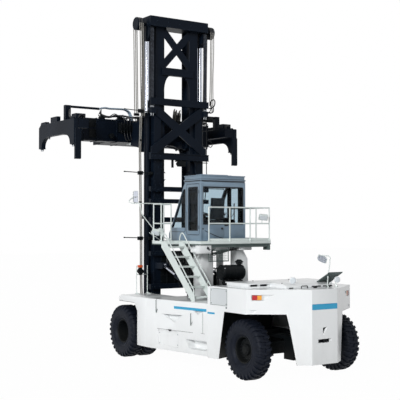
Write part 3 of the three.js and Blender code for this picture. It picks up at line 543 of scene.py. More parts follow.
rubber, chrome, chain_steel, vinyl = rubber_finish(), chrome_finish(), chain_finish(), vinyl_finish()
grey_hose = hose_finish("grey_hose", rgb(150, 148, 142), rgb(96, 94, 90))
black_hose = hose_finish("black_hose", rgb(26, 28, 32), rgb(14, 15, 18))
blue_hose = hose_finish("pale_blue_hose", rgb(164, 182, 198), rgb(120, 138, 156))
red_lens = lens_finish("red_lens", rgb(196, 22, 34), rgb(130, 10, 18))
amber_lens = lens_finish("amber_lens", rgb(246, 172, 56), rgb(214, 120, 24))
orange_lens = lens_finish("orange_lens", rgb(226, 96, 44), rgb(180, 66, 26))
clear_lens = lens_finish("clear_lens", rgb(226, 232, 236), rgb(176, 186, 194))
glass, plated = glass_finish(), polished_finish()

# ---- Camera, floor and lamps ----------------------------------------------------------------
camera_data = bpy.data.cameras.new("camera")
camera = bpy.data.objects.new("camera", camera_data)
bpy.context.scene.collection.objects.link(camera)
CAMERA_AT = (15.075, 22.16275, 3.828)      # in the row frame
camera_data.sensor_width, camera_data.lens, camera_data.clip_end = 36.0, 82.63, 400.0
right, up = Vector((-0.83076, 0.55663, 0.0004)), Vector((0.01525, 0.02202, 0.99964))
back = right.cross(up).normalized()
up = back.cross(right)
turn = Matrix((right.normalized(), up.normalized(), back)).transposed()
camera.matrix_world = Matrix.Translation(CAMERA_AT) @ turn.to_4x4()
bpy.context.scene.camera = camera
bpy.context.scene.view_settings.view_transform = "Standard"

FLOOR_HALF = 90.0
floor_shape = Shape()
floor_shape.block((-FLOOR_HALF, FLOOR_HALF), (-FLOOR_HALF, FLOOR_HALF), (-0.2, -0.001), 0)
floor = floor_shape.object("floor")
floor_finish = Finish("floor_paper", rgb(250, 250, 250), 0.9)
floor_finish.give("Base Color", floor_finish.mix(floor_finish.noise(0.6), rgb(250, 250, 250),
                                                 rgb(247, 247, 247)))
floor.data.materials.append(floor_finish.material)
floor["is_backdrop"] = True


def seen_directly(finish):
    """1 for rays from the camera, from a reflection or through glass, otherwise 0."""
    rays = finish.node("ShaderNodeLightPath", {}, {}, None)
    kinds = [Value(finish, rays.outputs[k]) for k in
             ("Is Camera Ray", "Is Glossy Ray", "Is Transmission Ray")]
    return (kinds[0] + kinds[1] + kinds[2]).held()


def white_backdrop(finish, share):
    """Shows the floor mostly as plain white light while it keeps the object's shadow."""
    glow = finish.tree.nodes.new("ShaderNodeEmission")
    glow.inputs["Color"].default_value = (1, 1, 1, 1)
    blend = finish.tree.nodes.new("ShaderNodeMixShader")
    finish.tree.links.new((seen_directly(finish) * share).socket, blend.inputs[0])
    finish.tree.links.new(finish.shader.outputs[0], blend.inputs[1])
    finish.tree.links.new(glow.outputs[0], blend.inputs[2])
    end = next(n for n in finish.tree.nodes if n.type == "OUTPUT_MATERIAL")
    finish.tree.links.new(blend.outputs[0], end.inputs[0])


FLOOR_GLOW, SKY_LIGHT = 0.985, 0.12
white_backdrop(floor_finish, FLOOR_GLOW)

world = bpy.data.worlds.new("studio")
bpy.context.scene.world = world
world.use_nodes = True
sky = world.node_tree
sky.nodes.clear()
rays = sky.nodes.new("ShaderNodeLightPath")
direct = sky.nodes.new("ShaderNodeMath")
direct.operation = "ADD"
sky.links.new(rays.outputs["Is Camera Ray"], direct.inputs[0])
through = sky.nodes.new("ShaderNodeMath")
through.operation, through.use_clamp = "ADD", True
sky.links.new(rays.outputs["Is Glossy Ray"], direct.inputs[1])
sky.links.new(direct.outputs[0], through.inputs[0])
sky.links.new(rays.outputs["Is Transmission Ray"], through.inputs[1])
soft = sky.nodes.new("ShaderNodeBackground")
soft.inputs["Color"].default_value = (0.93, 0.96, 1.0, 1)
soft.inputs["Strength"].default_value = SKY_LIGHT
plain = sky.nodes.new("ShaderNodeBackground")
plain.inputs["Color"].default_value = (1, 1, 1, 1)
plain.inputs["Strength"].default_value = 1.0
either = sky.nodes.new("ShaderNodeMixShader")
sky.links.new(through.outputs[0], either.inputs[0])
sky.links.new(soft.outputs[0], either.inputs[1])
sky.links.new(plain.outputs[0], either.inputs[2])
finish_line = sky.nodes.new("ShaderNodeOutputWorld")
sky.links.new(either.outputs[0], finish_line.inputs[0])


def lamp(name, strength, spread, towards):
    """A broad soft sun shining along a direction."""
    data = bpy.data.lights.new(name, "SUN")
    data.energy, data.angle = strength, math.radians(spread)
    sun = bpy.data.objects.new(name, data)
    bpy.context.scene.collection.objects.link(sun)
    sun.rotation_mode = "QUATERNION"
    sun.rotation_quaternion = Vector(towards).to_track_quat("-Z", "Y")


lamp("key_lamp", 2.65, 20, (-0.78, -0.52, -0.36))
lamp("fill_lamp", 0.12, 60, (0.2, -0.3, -0.95))


# ---- Wheels ---------------------------------------------------------------------------------
TYRE_RADIUS, LUGS = 0.75, 30
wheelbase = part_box("rear_wheel_left")[0].y / 2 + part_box("rear_wheel_left")[1].y / 2 - AXLE_Y


def tyre(shape, centre, y):
    """Carcass with rounded shoulders, and two rows of curved lugs that run down over them."""
    section = [
        (-0.126, 0.322), (-0.136, 0.352), (-0.168, 0.372), (-0.196, 0.418), (-0.211, 0.472),
        (-0.2145, 0.525), (-0.211, 0.585), (-0.2, 0.632), (-0.186, 0.668), (-0.163, 0.697),
        (-0.12, 0.715), (-0.06, 0.722),
    ]
    profile = section + [(-along, radius) for along, radius in reversed(section)]
    shape.turned(profile, centre, y, sides=96)
    for edge in (-1, 1):
        rib = [(edge * 0.208, 0.448), (edge * 0.2155, 0.455), (edge * 0.2155, 0.466), (edge * 0.208, 0.474)]
        shape.turned(rib, centre, y, sides=72)
    stations = [  # along the axle, foot, crown, turn round the wheel, half width
        (-0.012, 0.70, 0.7485, 0.055, 0.030), (0.038, 0.70, 0.7495, 0.020, 0.034),
        (0.088, 0.695, 0.749, 0.034, 0.037), (0.138, 0.68, 0.746, 0.000, 0.040),
        (0.172, 0.66, 0.733, -0.012, 0.042), (0.196, 0.63, 0.704, -0.020, 0.040),
        (0.207, 0.60, 0.655, -0.026, 0.034), (0.211, 0.575, 0.606, -0.030, 0.026),
    ]
    for row in (-1, 1):
        for at in around(LUGS, 0.5 if row > 0 else 0):
            loops = []
            for along, foot, crown, swing, half in stations:
                loop = []
                for radius, side in ((foot, -1.12), (crown, -1), (crown, 1), (foot, 1.12)):
                    angle = at + swing + side * half * TYRE_RADIUS / max(radius, 0.68)
                    loop.append(shape.mesh.verts.new((
                        centre + row * along + (row * 0.0035 if radius == crown and along > 0.19 else 0),
                        y + radius * math.sin(angle), GROUND_TO_AXLE + radius * math.cos(angle))))
                loops.append(loop)
            shape.lofted(loops).closed(loops[0], loops[-1][::-1])
    return shape


def wheel_centre(shape, first, last, disc, y, hub_end, nuts=20):
    """Rim with its lock ring, a dished disc, a ring of nuts and a bolted hub."""
    rim = [(first - 0.006, 0.316), (first - 0.012, 0.336), (first + 0.004, 0.338), (first + 0.02, 0.3175),
           (last - 0.03, 0.3175), (last - 0.012, 0.338), (last + 0.008, 0.336), (last + 0.012, 0.322),
           (last + 0.002, 0.309), (last - 0.02, 0.302), (last - 0.035, 0.296), (first + 0.01, 0.296)]
    shape.turned(rim, 0, y, sides=64)
    dish = [(disc - 0.012, 0.299), (disc + 0.012, 0.299), (disc + 0.03, 0.275), (disc + 0.034, 0.205),
            (disc + 0.03, 0.165), (disc, 0.165), (disc - 0.004, 0.21), (disc - 0.004, 0.27)]
    shape.turned(dish, 0, y, sides=64)
    hub = [(disc - 0.1, 0.105), (disc - 0.1, 0.16), (disc + 0.028, 0.19), (disc + 0.04, 0.19),
           (disc + 0.044, 0.15), (hub_end - 0.03, 0.138), (hub_end - 0.006, 0.128), (hub_end, 0.112),
           (hub_end, 0.105)]
    shape.turned(hub, 0, y, sides=48)
    shape.bar((hub_end - 0.02, y, GROUND_TO_AXLE), (hub_end + 0.012, y, GROUND_TO_AXLE),
              0.104, 0.094, 40, 0.004)
    for a in around(nuts):
        at = Vector((disc + 0.032, y + 0.24 * math.sin(a), GROUND_TO_AXLE + 0.24 * math.cos(a)))
        shape.bolt(at, (1, 0, 0), 0.017, 0.03)
        shape.bar(at, at + Vector((0.045, 0, 0)), 0.0085, sides=8)
    for a in around(12, 0.5):
        shape.bolt((hub_end - 0.002, y + 0.082 * math.sin(a), GROUND_TO_AXLE + 0.082 * math.cos(a)),
                   (1, 0, 0), 0.008, 0.014)
    valve = [(disc + 0.03, y + 0.27, GROUND_TO_AXLE), (disc + 0.07, y + 0.275, GROUND_TO_AXLE),
             (disc + 0.12, y + 0.268, GROUND_TO_AXLE)]
    return shape.pipe(valve, 0.006)


front_inner, front_outer = 1.405, 1.922
rear_centre = 1.435
for side in SIDES:
    twin = tyre(tyre(Shape(), front_inner, 0.0), front_outer, 0.0)
    make(f"twin_tyres_{side}", twin.on(side), f"front_wheel_{side}", rubber,
         [f"front_tyres_{side}"], 38)
    low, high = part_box("front_wheel_left")
    centre = wheel_centre(Shape(), low.x, high.x, front_inner + 0.21, 0.0, front_inner + 0.37)
    make(f"drive_wheel_{side}", centre.on(side), f"front_wheel_{side}", iron,
         [f"front_wheel_{side}"])
    single = tyre(Shape(), rear_centre, wheelbase)
    make(f"steer_tyre_{side}", single.on(side), f"rear_wheel_{side}", rubber,
         [f"rear_tyre_{side}"], 38)
    low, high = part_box("rear_wheel_left")
    centre = wheel_centre(Shape(), low.x, high.x, rear_centre - 0.02, wheelbase, rear_centre + 0.09)
    make(f"steer_wheel_{side}", centre.on(side), f"rear_wheel_{side}", iron,
         [f"rear_wheel_{side}"])


# ---- White bodywork -------------------------------------------------------------------------
DECK_TOP, BODY_TOP, SKIRT = 1.8, 2.25, 0.45
CARD_LOW, CARD_HIGH = 1.79, 2.205                      # the blank plates' edges
TANK_FRONT, TANK_REAR = (2.125, 1.63), (1.76, 3.9)     # the side wall's line in plan
SLANT_FRONT, SLANT_REAR = (1.7, 5.49), (0.41, 6.42)    # the tail's corner in plan


def on_wall(start, end, along, proud=0.0):
    """A point on a wall that stands on the line from start to end in plan, along it from its start."""
    a, b = Vector((*start, 0)), Vector((*end, 0))
    on = (b - a).normalized()
    out = Vector((on.y, -on.x, 0))
    return a + on * along + out * proud


def wall_block(shape, start, end, along, heights, depths, edge=0.004):
    """A block that lies on a slanted wall: its run along the wall, its heights and how proud it stands."""
    corners = [on_wall(start, end, s, d) for s, d in
               ((along[0], depths[0]), (along[1], depths[0]), (along[1], depths[1]), (along[0], depths[1]))]
    return shape.plate("z", [(c.x, c.y) for c in corners], *heights, edge)


def wall_wedge(start, end, outline, depth, proud=0.05):
    """A pocket in a wall: its outline as (along, height, depth there), cut back from just outside it."""
    tool = Shape()
    outer, inner = [], []
    for along, height, deep in outline:
        outer.append(tool.mesh.verts.new(on_wall(start, end, along, proud) + Vector((0, 0, height))))
        inner.append(tool.mesh.verts.new(on_wall(start, end, along, -deep * depth)
                                         + Vector((0, 0, height))))
    tool.mesh.faces.new(outer)
    tool.mesh.faces.new(inner[::-1])
    for i in range(len(outline)):
        k = (i + 1) % len(outline)
        tool.mesh.faces.new((outer[i], inner[i], inner[k], outer[k]))
    bmesh.ops.triangulate(tool.mesh, faces=tool.mesh.faces)
    return tool


for side in SIDES:
    piece = softened(f"front_fender_{side}", f"wheel_cover_{side}", 0.012, "chassis", white)
    # Faces inside the wheel house, those that look down or forwards, are painted black: painted shade in
    # the arch.
    line(piece, iron, lambda at, normal: normal.z < -0.3 and at.z > 0.5 or normal.y < -0.8 and at.y > 0.2)

# The long side boxes: a stepped-in foot, a battery door and two sloping steps.
for side in SIDES:
    walls = Shape()
    walls.plate("z", [(0.64, 1.4503), (2.14, 1.4503), (2.14, 1.455), TANK_FRONT, (1.76, 3.8997),
                      (0.64, 3.8997)],
                SKIRT, DECK_TOP, 0)
    battery = wall_wedge(TANK_FRONT, TANK_REAR, [(0.34, 0.60, 1), (1.16, 0.56, 1), (1.16, 0.975, 1),
                                                 (0.34, 0.975, 1)], 0.03)
    foot = wall_wedge(TANK_FRONT, TANK_REAR, [(1.62, 0.58, 1), (2.27, 0.58, 1), (2.27, 0.815, 1),
                                              (1.46, 0.815, 1)], 0.26)
    step = wall_wedge(TANK_FRONT, TANK_REAR, [(0.52, 1.41, 1), (1.02, 1.215, 0.01), (1.33, 1.43, 1)], 0.17)
    high_step = wall_wedge(TANK_FRONT, TANK_REAR,
                           [(1.72, 1.605, 1), (1.94, 1.49, 0.01), (2.2, 1.61, 1)], 0.15)
    tools = [tool.on(side) for tool in (battery, foot, step, high_step)]
    name = f"side_box_{side}"
    piece = carve(walls.on(side).object(name), *tools)
    fit(soft_edges(piece, 0.006), "chassis", white, [f"side_tank_{side}"])

    trim = Shape()
    wall_block(trim, TANK_FRONT, TANK_REAR, (1.0, 2.26), (1.585, 1.655), (0.0005, 0.003), 0.001)
    make(f"side_stripe_{side}", trim.on(side), "chassis", cyan)
    rest = Shape()
    wall_block(rest, (1.76, 3.9), (1.7, 4.3), (0.004, 0.27), (1.545, 1.59), (0.0005, 0.003), 0.001)
    make(f"casting_stripe_{side}", rest.on(side), "chassis", cyan)

    lines = Shape()
    wall_block(lines, TANK_FRONT, TANK_REAR, (0.30, 1.75), (1.002, 1.010), (-0.002, 0.0015), 0)
    wall_block(lines, TANK_FRONT, TANK_REAR, (0.78, 0.90), (0.992, 1.02), (0.0, 0.012), 0.003)
    wall_block(lines, TANK_FRONT, TANK_REAR, (0.81, 0.87), (0.975, 0.995), (0.0, 0.016), 0.004)
    wall_block(lines, TANK_FRONT, TANK_REAR, (2.05, 2.20), (1.012, 1.018), (-0.002, 0.0015), 0)
    make(f"door_seam_{side}", lines.on(side), "chassis", gutter)

    grips = Shape()
    for along, top, low in ((0.28, 1.78, 1.44), (1.68, 1.50, 1.20)):
        out = on_wall(TANK_FRONT, TANK_REAR, along, 0.022)
        end = on_wall(TANK_FRONT, TANK_REAR, along, -0.005)
        hook = on_wall(TANK_FRONT, TANK_REAR, along + 0.06, 0.02)
        grips.pipe(rounded([end + Vector((0, 0, top)), out + Vector((0, 0, top)), out + Vector((0, 0, low)),
                            end + Vector((0, 0, low))], 0.02, 3), 0.008)
        grips.pipe(rounded([hook + Vector((0, 0, low + 0.09)), out + Vector((0, 0, low))], 0.02, 3), 0.006)
    far = on_wall(TANK_FRONT, TANK_REAR, 2.13, 0.008)
    grips.pipe([far + Vector((0, 0, 1.54)), far + Vector((0, 0, 1.02))], 0.004)
    make(f"side_grips_{side}", grips.on(side), "chassis", grey_and_painted_shade)

    hinges = Shape()
    for height in (0.62, 0.90):
        for along in (0.38, 1.12):
            at = on_wall(TANK_FRONT, TANK_REAR, along, -0.03)
            outward = on_wall(TANK_FRONT, TANK_REAR, 0, 1) - on_wall(TANK_FRONT, TANK_REAR, 0)
            hinges.bolt(at + Vector((0, 0, height)), outward, 0.012, 0.012)
    make(f"door_bolts_{side}", hinges.on(side), "chassis", plated)

# The rear casting: lamp pockets with sharp tails, a towing hook's slot and flush stripes.
casting = copy_of("rear_body", "rear_casting")
lamp_pocket = [(0.13, 1.985, 1), (0.40, 1.985, 1), (0.66, 2.115, 0.02), (0.13, 2.115, 1)]
tools = []
for side in SIDES:
    tools.append(wall_wedge(SLANT_FRONT, SLANT_REAR, lamp_pocket, 0.07).on(side))
    drain = [(0.09, 1.74, 1), (0.17, 1.675, 1), (0.25, 1.74, 1)]
    tools.append(wall_wedge(SLANT_FRONT, SLANT_REAR, drain, 0.05).on(side))
tail_y = SLANT_REAR[1]
for x, z, deep in (((-0.4101, 0.4101), (1.755, 1.895), 0.006), ((-0.20, 0.21), (0.945, 1.035), 0.09)):
    pocket = Shape()
    pocket.block(x, (tail_y - deep, tail_y + 0.05), z, 0)
    tools.append(pocket)
NOTCH = [(0.06, 1.31), (-0.07, 1.325), (0.04, 1.14), (0.06, 1.14)]
towing = Shape()
towing.plate("y", NOTCH, tail_y - 0.07, tail_y + 0.05, 0)
tools.append(towing)
carve(casting, *tools)
soft_edges(casting, 0.009)
for vert in casting.data.vertices:
    vert.co.y = min(vert.co.y, tail_y + AXLE_Y)
fit(casting, "chassis", white, ["rear_body"], 12)
# The faces round the rear wheel's arch are painted black: painted shade in the arch.
line(casting, iron, lambda at, normal: at.z < 1.66 and normal.z < 0.9 and abs(at.x) < 1.69
     and (at - Vector((math.copysign(1.1, at.x), wheelbase, at.z))).xy.length < 1.13)

tail_trim = Shape()
tail_trim.block((-0.408, 0.408), (tail_y - 0.0065, tail_y - 0.0012), (1.757, 1.893), 0)
make("tail_stripe", tail_trim, "chassis", cyan)
towing_pin_and_notch_shade = Shape()
# A black plate at the back of the notch: painted shade in it.
towing_pin_and_notch_shade.plate("y", NOTCH, tail_y - 0.075, tail_y - 0.055, 0)
towing_pin_and_notch_shade.bar((0.0, tail_y - 0.045, 0.93), (0.0, tail_y - 0.045, 1.05), 0.028)
towing_pin_and_notch_shade.block((-0.19, 0.2), (tail_y - 0.085, tail_y - 0.075), (0.95, 1.03), 0.002)
make("towing_pin_and_notch_shade", towing_pin_and_notch_shade, "chassis", iron)
for side in SIDES:
    rims = Shape()
    wall_block(rims, SLANT_FRONT, SLANT_REAR, (0.133, 0.66), (1.990, 2.110), (-0.068, -0.062), 0)
    make(f"lamp_bed_{side}", rims.on(side), "chassis", label)
    for name, start, end, lens in (("stop", 0.145, 0.262, red_lens), ("turn", 0.266, 0.372, amber_lens),
                                   ("reverse", 0.376, 0.405, clear_lens)):
        cell = Shape()
        wall_block(cell, SLANT_FRONT, SLANT_REAR, (start, end), (1.996, 2.104), (-0.064, -0.018), 0.008)
        make(f"{name}_lens_{side}", cell.on(side), "chassis", lens)

# Hood: the middle plate, a louvred cover on each side of it with painted shade in its gaps, and low rear
# vents.
softened("engine_hood", "hood_plate", 0.012, "chassis", white)
covers, cover_gap_shade_and_vents = Shape(), Shape()
for sign in (1, -1):
    near, far = sorted((sign * 0.735, sign * 1.36))
    covers.block((near, far), (4.2, 5.16), (BODY_TOP - 0.002, BODY_TOP + 0.03), 0.008)
    covers.block((near - 0.02, far + 0.02), (4.15, 5.2), (BODY_TOP + 0.085, BODY_TOP + 0.112), 0.01)
    for share in (0.02, 0.5, 0.98):
        x = near + (far - near) * share
        covers.block((x - 0.03, x + 0.03), (4.22, 5.15), (BODY_TOP + 0.02, BODY_TOP + 0.09), 0.004)
    # A dark block fills the gap between the cover's two plates: painted shade.
    cover_gap_shade_and_vents.block((near + 0.01, far - 0.01), (4.3, 5.1), (BODY_TOP + 0.025, BODY_TOP + 0.088), 0)
for x in (-0.62, -0.25):
    cover_gap_shade_and_vents.block((x - 0.16, x + 0.16), (5.62, 5.821), (BODY_TOP + 0.012, BODY_TOP + 0.045), 0.002)
make("hood_covers", covers, "chassis", white)
make("hood_gap_shade_and_vents", cover_gap_shade_and_vents, "chassis", gutter)
hardware = Shape()
for x in (-0.6, 0.6):
    hardware.bar((x - 0.06, 5.86, BODY_TOP + 0.012), (x + 0.06, 5.86, BODY_TOP + 0.012), 0.012, sides=12)
    for y in (4.3, 5.5):
        hardware.bolt((x, y, BODY_TOP + 0.109), (0, 0, 1), 0.016, 0.014)
hardware.pipe(rounded([(0.15, 5.95, BODY_TOP), (0.15, 5.95, BODY_TOP + 0.06), (0.35, 5.95, BODY_TOP + 0.06),
                       (0.35, 5.95, BODY_TOP)], 0.03), 0.012)
hardware.ball((-0.1, 5.95, BODY_TOP + 0.01), 0.05, (1, 1, 0.6))
make("hood_hardware", hardware, "chassis", iron)

# Blank plates with their rims on both sides of the rear body, bent to follow the wall.
for side in SIDES:
    card, rim = Shape(), Shape()
    wall = [(1.7425, 4.02), (1.7005, 4.3), (1.7005, 4.68)]
    card.plate("z", wall + [(x + 0.005, y) for x, y in reversed(wall)], CARD_LOW, CARD_HIGH, 0)
    make(f"blank_plate_{side}", card.on(side), "chassis", label)
    edge = [(x + 0.004, y) for x, y in wall]
    loop = [(*at, CARD_LOW) for at in edge] + [(*at, CARD_HIGH) for at in reversed(edge)]
    rim.pipe(loop + loop[:1], 0.005, 6)
    for z in (CARD_LOW + 0.04, CARD_HIGH - 0.045):
        for x, y in ((1.742, 4.05), (1.704, 4.65)):
            rim.bolt((x, y, z), (1, 0, 0), 0.011, 0.008)
    rim.bar((1.70, 4.66, 1.745), (1.715, 4.66, 1.745), 0.02, sides=12)
    make(f"plate_rim_{side}", rim.on(side), "chassis", grey_and_painted_shade)


# ---- Rear lamps and mirror ------------------------------------------------------------------
def round_lamp(name, at, towards, body, radius=0.085):
    """A work lamp's bowl, rim and lens."""
    at, towards = Vector(at), Vector(towards).normalized()
    bowl, pane = Shape(), Shape()
    bowl.bar(at - towards * radius * 1.1, at - towards * 0.01, radius * 0.45, radius, 28)
    bowl.bar(at - towards * 0.012, at + towards * 0.012, radius * 1.06, radius * 1.06, 28, 0.004)
    pane.bar(at + towards * 0.009, at + towards * 0.022, radius * 0.96, radius * 0.8, 28, 0.004)
    make(f"{name}_bowl", bowl, body, white)
    make(f"{name}_lens", pane, body, clear_lens)


round_lamp("tail_work_lamp", (0.35, 5.62, 2.43), (0.35, 0.93, -0.05), "chassis")
round_lamp("corner_work_lamp", (-0.86, 5.92, 2.43), (0.2, 0.97, -0.05), "chassis", 0.08)
brackets = Shape()
for x, y, z in ((0.35, 5.56, 2.43), (-0.86, 5.86, 2.43)):
    bend = [(x, y + 0.02, BODY_TOP), (x, y, z - 0.09), (x, y + 0.02, z - 0.04)]
    brackets.pipe(rounded(bend, 0.03), 0.014)
    brackets.bar((x, y + 0.02, BODY_TOP), (x, y + 0.02, BODY_TOP + 0.02), 0.045, sides=16)
post = [(-0.60, 5.84, BODY_TOP), (-0.62, 5.84, 2.55), (-0.66, 5.86, 2.80), (-0.66, 5.88, 3.01),
        (-0.66, 5.83, 3.03), (-0.64, 5.45, 3.045)]
brackets.pipe(rounded(post, 0.05), 0.0125)
brackets.bar((-0.60, 5.84, BODY_TOP), (-0.60, 5.84, BODY_TOP + 0.03), 0.04, sides=16)
make("rear_brackets", brackets, "chassis", pale)


def oval_mirror(name, centre, across, upright, body, depth=0.02):
    """A mirror head: a shallow rounded back with a silvered face."""
    centre, across, upright = Vector(centre), Vector(across), Vector(upright)
    out = across.cross(upright).normalized()
    shell, face = Shape(), Shape()
    for shape, grow, start, end in ((shell, 1.0, -depth, 0.0), (face, 0.9, 0.0, 0.004)):
        loops = []
        for level, share in ((start, 0.72), ((start + end) / 2, 0.96), (end, 1.0)):
            loop = []
            for a in around(28):
                c, s = math.cos(a), math.sin(a)
                squared = (abs(c) ** 4 + abs(s) ** 4) ** -0.25
                scale = grow * share * squared
                loop.append(shape.mesh.verts.new(centre + across * c * scale + upright * s * scale + out
                                                 * level))
            loops.append(loop)
        shape.lofted(loops).closed(loops[0], loops[-1][::-1])
    make(f"{name}_shell", shell, body, pale)
    make(f"{name}_face", face, body, chrome)


oval_mirror("rear_mirror", (-0.64, 5.60, 2.95), (0.02, 0.20, -0.05), (0.0, 0.035, 0.085), "chassis")
shield = Shape()
shield.plate("x", [(5.50, 2.33), (5.98, 2.60), (6.0, 2.63), (5.52, 2.375)], -0.98, -0.52, 0.006)
shield.block((-0.80, -0.70), (5.50, 5.62), (BODY_TOP, 2.36), 0.01)
make("tail_shield", shield, "chassis", grey_and_painted_shade)


# ---- Mast -----------------------------------------------------------------------------------
LIFT_X, LIFT_Y, SHEAVE_Y, SHEAVE_Z = 0.96, -0.52, -0.49, 9.67
ROD_HEAD, BARREL_TOP, ANCHOR_TOP, CARRIAGE_TOP = 9.3997, 7.23, 7.3503, 7.0803
CHAIN_REACH = 0.2628            # from the sheave's centre to the middle of the chain
HOSE_SHEAVE_Z, HOSE_WRAP = 9.88, 0.186


def sleeve(shape, start, end, outer, inner, sides=40):
    """A hollow round tube between two points."""
    start, end = Vector(start), Vector(end)
    turn = Vector((0, 0, 1)).rotation_difference(end - start).to_matrix()
    rings = []
    for a in around(sides):
        on = turn @ Vector((math.cos(a), math.sin(a), 0))
        rings.append([shape.mesh.verts.new(p) for p in
                      (start + on * inner, start + on * outer, end + on * outer, end + on * inner)])
    return shape.lofted(rings, ring=True)


for side in SIDES:
    barrel = sleeve(Shape(), (LIFT_X, LIFT_Y, 0.42), (LIFT_X, LIFT_Y, BARREL_TOP - 0.05), 0.096, 0.079)
    barrel.bar((LIFT_X, LIFT_Y, 0.3503), (LIFT_X, LIFT_Y, 0.43), 0.098, sides=40)
    for z in (2.4, 5.0, 6.8):
        sleeve(barrel, (LIFT_X, LIFT_Y, z), (LIFT_X, LIFT_Y, z + 0.05), 0.098, 0.09)
    make(f"lift_barrel_skin_{side}", barrel.on(side), "outer_mast", navy,
         [f"lift_barrel_{side}"])
    gland = sleeve(Shape(), (LIFT_X, LIFT_Y, BARREL_TOP - 0.055), (LIFT_X, LIFT_Y, BARREL_TOP), 0.098,
                   0.0785)
    sleeve(gland, (LIFT_X, LIFT_Y, BARREL_TOP - 0.002), (LIFT_X, LIFT_Y, BARREL_TOP + 0.02), 0.092, 0.0785)
    make(f"gland_ring_{side}", gland.on(side), "outer_mast", plated)
    rod = Shape().bar((LIFT_X, LIFT_Y, 2.9), (LIFT_X, LIFT_Y, ROD_HEAD), 0.075, sides=48, edge=0.004)
    make(f"lift_ram_{side}", rod.on(side), "inner_mast", chrome, [f"lift_rod_{side}"])


def chain_part(lacing):
    """One pitch of leaf chain: a row of waisted plates with its pin."""
    part = Shape()
    outline = [(-0.0115, -0.031), (-0.0065, -0.038), (0.0065, -0.038), (0.0115, -0.031), (0.0115, -0.008),
               (0.009, 0.0), (0.0115, 0.008), (0.0115, 0.031), (0.0065, 0.038), (-0.0065, 0.038),
               (-0.0115, 0.031), (-0.0115, 0.008), (-0.009, 0.0), (-0.0115, -0.008)]
    for x in lacing:
        part.plate("x", outline, x - 0.0052, x + 0.0052, 0.0012)
    part.bar((-0.0635, 0, 0.0225), (0.0635, 0, 0.0225), 0.0068, sides=8)
    return part


def chain_run(shape, points, tangents):
    """Lays chain along stations one pitch apart, the two lacings by turns."""
    for odd, lacing in enumerate(((-0.055, -0.033, -0.011, 0.011, 0.033, 0.055),
                                  (-0.044, -0.022, 0.0, 0.022, 0.044))):
        places = []
        for point, along in list(zip(points, tangents))[odd::2]:
            across = Vector((1, 0, 0))
            out = along.cross(across)
            turn = Matrix((across, out, along)).transposed().to_4x4()
            places.append(Matrix.Translation(point) @ turn)
        shape.spread(chain_part(lacing), places)
    return shape


def straight_run(y, low, high, pitch=0.045):
    """Chain stations up a vertical strand, and the direction at each."""
    count = int((high - low - 0.08) / pitch)
    return ([Vector((LIFT_X, y, low + 0.04 + i * (high - low - 0.08) / count)) for i in range(count + 1)],
            [Vector((0, 0, 1))] * (count + 1))


rear_y, front_y = SHEAVE_Y + CHAIN_REACH, SHEAVE_Y - CHAIN_REACH
for side, sign in SIDES.items():
    turns = [math.pi * i / 18 for i in range(19)]
    over = chain_run(Shape(), [Vector((LIFT_X, SHEAVE_Y + CHAIN_REACH * math.cos(a),
                                       SHEAVE_Z + CHAIN_REACH * math.sin(a)))
                               for a in turns], [Vector((0, -math.sin(a), math.cos(a))) for a in turns])
    make(f"chain_over_sheave_{side}", over.on(side), "inner_mast", chain_steel,
         [f"lift_chain_{side}"])
    rear = chain_run(Shape(), *straight_run(rear_y, ANCHOR_TOP, SHEAVE_Z))
    piece = make(f"chain_rear_{side}", rear.on(side), None, chain_steel)
    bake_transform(piece)
    run = chain_run(Shape(), *straight_run(front_y, CARRIAGE_TOP, SHEAVE_Z))
    piece = make(f"chain_front_{side}", run.on(side), None, chain_steel)
    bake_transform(piece)
    ends = Shape()
    ends.block((LIFT_X - 0.062, LIFT_X + 0.062), (rear_y - 0.011, rear_y + 0.011),
               (ANCHOR_TOP, ANCHOR_TOP + 0.06), 0.003)
    for x in (-0.035, 0.035):
        ends.bar((LIFT_X + x, rear_y, ANCHOR_TOP - 0.25), (LIFT_X + x, rear_y, ANCHOR_TOP), 0.011, sides=12)
        ends.bolt((LIFT_X + x, rear_y, ANCHOR_TOP - 0.17), (0, 0, -1), 0.02, 0.03)
    make(f"chain_anchor_{side}", ends.on(side), "outer_mast", plated)

